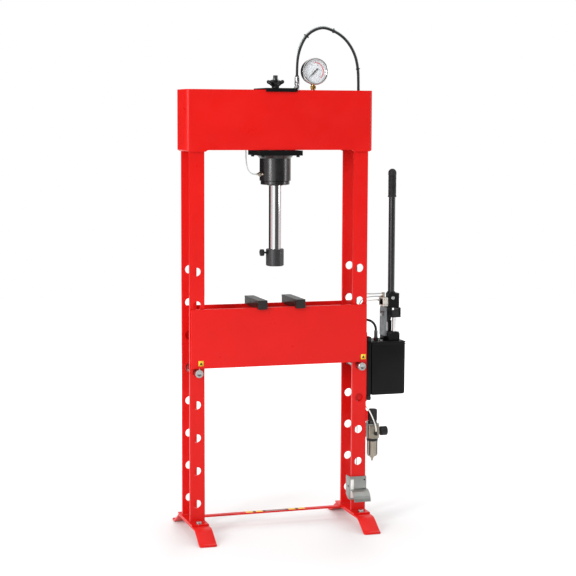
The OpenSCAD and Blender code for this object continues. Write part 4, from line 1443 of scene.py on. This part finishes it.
def foot_valve_pieces():
    """Folded cover with its cheeks, lip and lugs, pedal pin, screws and plain plate."""
    lo, hi = corners("foot_valve")
    t = 2.6 * MM  # sheet thickness
    front_y = -75 * MM
    outline = [(front_y, lo.z), (-50 * MM, lo.z), (hi.y, lo.z + 17 * MM), (hi.y, hi.z), (front_y, hi.z)]
    parts = [
        prism("left_cheek", outline, "X", lo.x, t, 0.8 * MM),
        prism("right_cheek", outline, "X", hi.x - t, t, 0.8 * MM),
        rounded_box("front_cover", (lo.x, front_y, lo.z), (hi.x, front_y + t, hi.z), 1.1 * MM),
        rounded_box(
            "top_lip", (lo.x + 4 * MM, front_y - 0.6 * MM, hi.z - 9 * MM),
            (hi.x - 1 * MM, front_y + t, hi.z - 6 * MM), 1.2 * MM,
        ),
        rounded_box(
            "valve_core", (lo.x + 2 * MM, -57 * MM, lo.z + 20 * MM),
            (hi.x - 2 * MM, -30 * MM, hi.z - 11 * MM), 1.5 * MM,
        ),
    ]
    for x in (328 * MM, 348 * MM):
        parts.append(
            rounded_box("pedal_lug", (x, PEDAL_PIN_Y - 4 * MM, PEDAL_PIN_Z - 4 * MM),
                        (x + 4 * MM, PEDAL_PIN_Y + 6 * MM, PEDAL_PIN_Z + 4 * MM), 1 * MM)
        )
    finish_piece(join("foot_valve_cover", parts), SHEET, "frame", "grey_metal", "foot_valve")
    pin = [(0, 309), (1.6, 309), (2, 309.4), (2, 370.6), (1.6, 371), (0, 371)]
    turned("pedal_pin", pin, (0, PEDAL_PIN_Y, PEDAL_PIN_Z), X, 20, STEEL, "frame", "zinc_steel")
    bm = bmesh.new()
    head = [(0, 0), (3.4, 0), (3.4, 0.8), (2.4, 2.0), (0, 2.3)]
    front_screw = Vector((hi.x - 9 * MM, front_y, hi.z - 15 * MM))
    add_lathe(bm, head, front_screw, -Y, 24)
    side_screw = Vector((lo.x, -56 * MM, lo.z + 54 * MM))
    add_lathe(bm, head, side_screw, -X, 24)
    piece("foot_valve_screws", bm, 35, BLACK_STEEL, "frame", "black_paint")
    band = rounded_box(
        "plain_plate", (lo.x + 3 * MM, front_y - 0.35 * MM, lo.z + 8 * MM),
        (lo.x + 17 * MM, front_y, hi.z - 12 * MM), 0.15 * MM, 1,
    )
    finish_piece(band, WHITE, "frame", "white_dial")


def pedal_piece():
    """Curved tread with rolled edge, ribs and the two eyes round the pin."""
    lo, hi = corners("foot_pedal")
    axis_y, axis_z = -76 * MM, 104 * MM
    outer, inner = 45 * MM, 42 * MM
    bm = bmesh.new()
    count = 40
    rings = []
    for k in range(count + 1):
        a = math.radians(90 * k / count)
        rib = 0.5 * MM * max(0.0, math.sin(k / count * 2 * math.pi * 6.5)) if k > 6 else 0
        ring = []
        for x, r in ((lo.x, outer), (hi.x, outer), (hi.x, inner), (lo.x, inner)):
            reach = r - (0.6 * MM - rib if r == outer else 0)
            ring.append(
                bm.verts.new(
                    Vector((x, axis_y - reach * math.sin(a), axis_z + reach * math.cos(a)))
                )
            )
        rings.append(ring)
    skin(bm, rings)
    tread = new_object("tread", bm, 40)
    eyes = [
        rounded_box("eye", (x, PEDAL_PIN_Y - 4 * MM, PEDAL_PIN_Z - 4 * MM),
                    (x + 6 * MM, PEDAL_PIN_Y + 3 * MM, PEDAL_PIN_Z + 7 * MM), 1 * MM)
        for x in (312 * MM, 360 * MM)
    ]
    lip = rounded_box(
        "lip", (lo.x, lo.y + 0.2 * MM, lo.z), (hi.x, lo.y + 3.4 * MM, lo.z + 3 * MM), 1.2 * MM
    )
    finish_piece(join("pedal_tread", [tread, lip] + eyes), SHEET, "pedal", "grey_metal", "foot_pedal")


foot_valve_pieces()
pedal_piece()


# ---- stage ----


def add_floor():
    """White disc that glows more the farther it is, so that it fades into the studio."""
    bm = bmesh.new()
    bmesh.ops.create_circle(bm, cap_ends=True, segments=96, radius=8.5)
    floor = new_object("floor", bm)
    n = Surface("floor_white")
    base = n.ramp(n.noise(0.8, 2), [(0.3, (0.66, 0.66, 0.66)), (0.7, (0.68, 0.68, 0.68))])
    reach = n.add("ShaderNodeVectorMath")
    reach.operation = "LENGTH"
    n.link(n.place, reach.inputs[0])
    floor.data.materials.append(
        n.set(
            Base_Color=base,
            Roughness=0.6,
            Specular_IOR_Level=0.1,
            Emission_Color=(1, 1, 1, 1),
            Emission_Strength=n.scale(reach.outputs["Value"], 0.5, 3.5, 0.10, 0.6),
        )
    )


def area_light(name, at, aim, size, power, mirrored=True):
    """Soft box; one that is not mirrored lights the press without glare on it."""
    data = bpy.data.lights.new(name, "AREA")
    data.shape = "RECTANGLE"
    data.size, data.size_y = size
    data.energy = power
    obj = place(name, data)
    obj.location = at
    obj.rotation_euler = (Vector(aim) - Vector(at)).to_track_quat("-Z", "Y").to_euler()
    obj.visible_glossy = mirrored


# Brightness of the studio round the horizon, by compass angle from +X towards +Y
PANELS = [
    (-180, 0.75), (-155, 0.75), (-150, 1.15), (-110, 1.15), (-105, 0.08), (-40, 0.10), (-34, 0.85),
    (70, 0.85), (86, 0.03), (160, 0.03), (168, 0.7), (180, 0.75),
]


def studio_world():
    """White studio seen directly; the light it gives has darker panels for metal to reflect."""
    n = Nodes(bpy.data.worlds.new("studio"))
    n.tree.nodes.clear()
    split = n.add("ShaderNodeSeparateXYZ")
    n.link(n.add("ShaderNodeTexCoord").outputs["Generated"], split.inputs[0])
    turn = n.add("ShaderNodeMath")
    turn.operation = "ARCTAN2"
    n.link(split.outputs["Y"], turn.inputs[0])
    n.link(split.outputs["X"], turn.inputs[1])
    share = n.scale(turn.outputs[0], -math.pi, math.pi, 0, 1)
    panels = n.ramp(share, [((degrees + 180) / 360, (level,) * 3) for degrees, level in PANELS])
    high = n.scale(split.outputs["Z"], 0.3, 0.55, 0, 1)
    lighting = n.add("ShaderNodeBackground", Strength=1.0)
    n.link(n.mix(high, panels, (0.95, 0.95, 0.95)), lighting.inputs["Color"])
    seen = n.add("ShaderNodeBackground", Strength=1.0, Color=(1, 1, 1, 1))
    mix = n.add("ShaderNodeMixShader")
    n.link(n.add("ShaderNodeLightPath").outputs["Is Camera Ray"], mix.inputs[0])
    n.link(lighting.outputs[0], mix.inputs[1])
    n.link(seen.outputs[0], mix.inputs[2])
    n.link(mix.outputs[0], n.add("ShaderNodeOutputWorld").inputs["Surface"])
    bpy.context.scene.world = n.owner


def add_lighting():
    studio_world()
    middle = (0, 0, 1.0)
    area_light("key", (-4.1, -3.0, 2.6), middle, (1.2, 2.6), 165)
    area_light("fill", (4.7, -2.1, 2.2), middle, (1.0, 2.4), 45)
    area_light("top", (0.3, 0.6, 4.6), middle, (3.0, 3.0), 35)
    area_light("back", (1.8, 3.8, 2.4), middle, (2.0, 2.4), 60, False)
    area_light("side", (-5.0, 0.8, 1.8), middle, (1.4, 2.4), 55, False)
    bpy.context.scene.view_settings.view_transform = "Standard"


add_floor()
add_lighting()
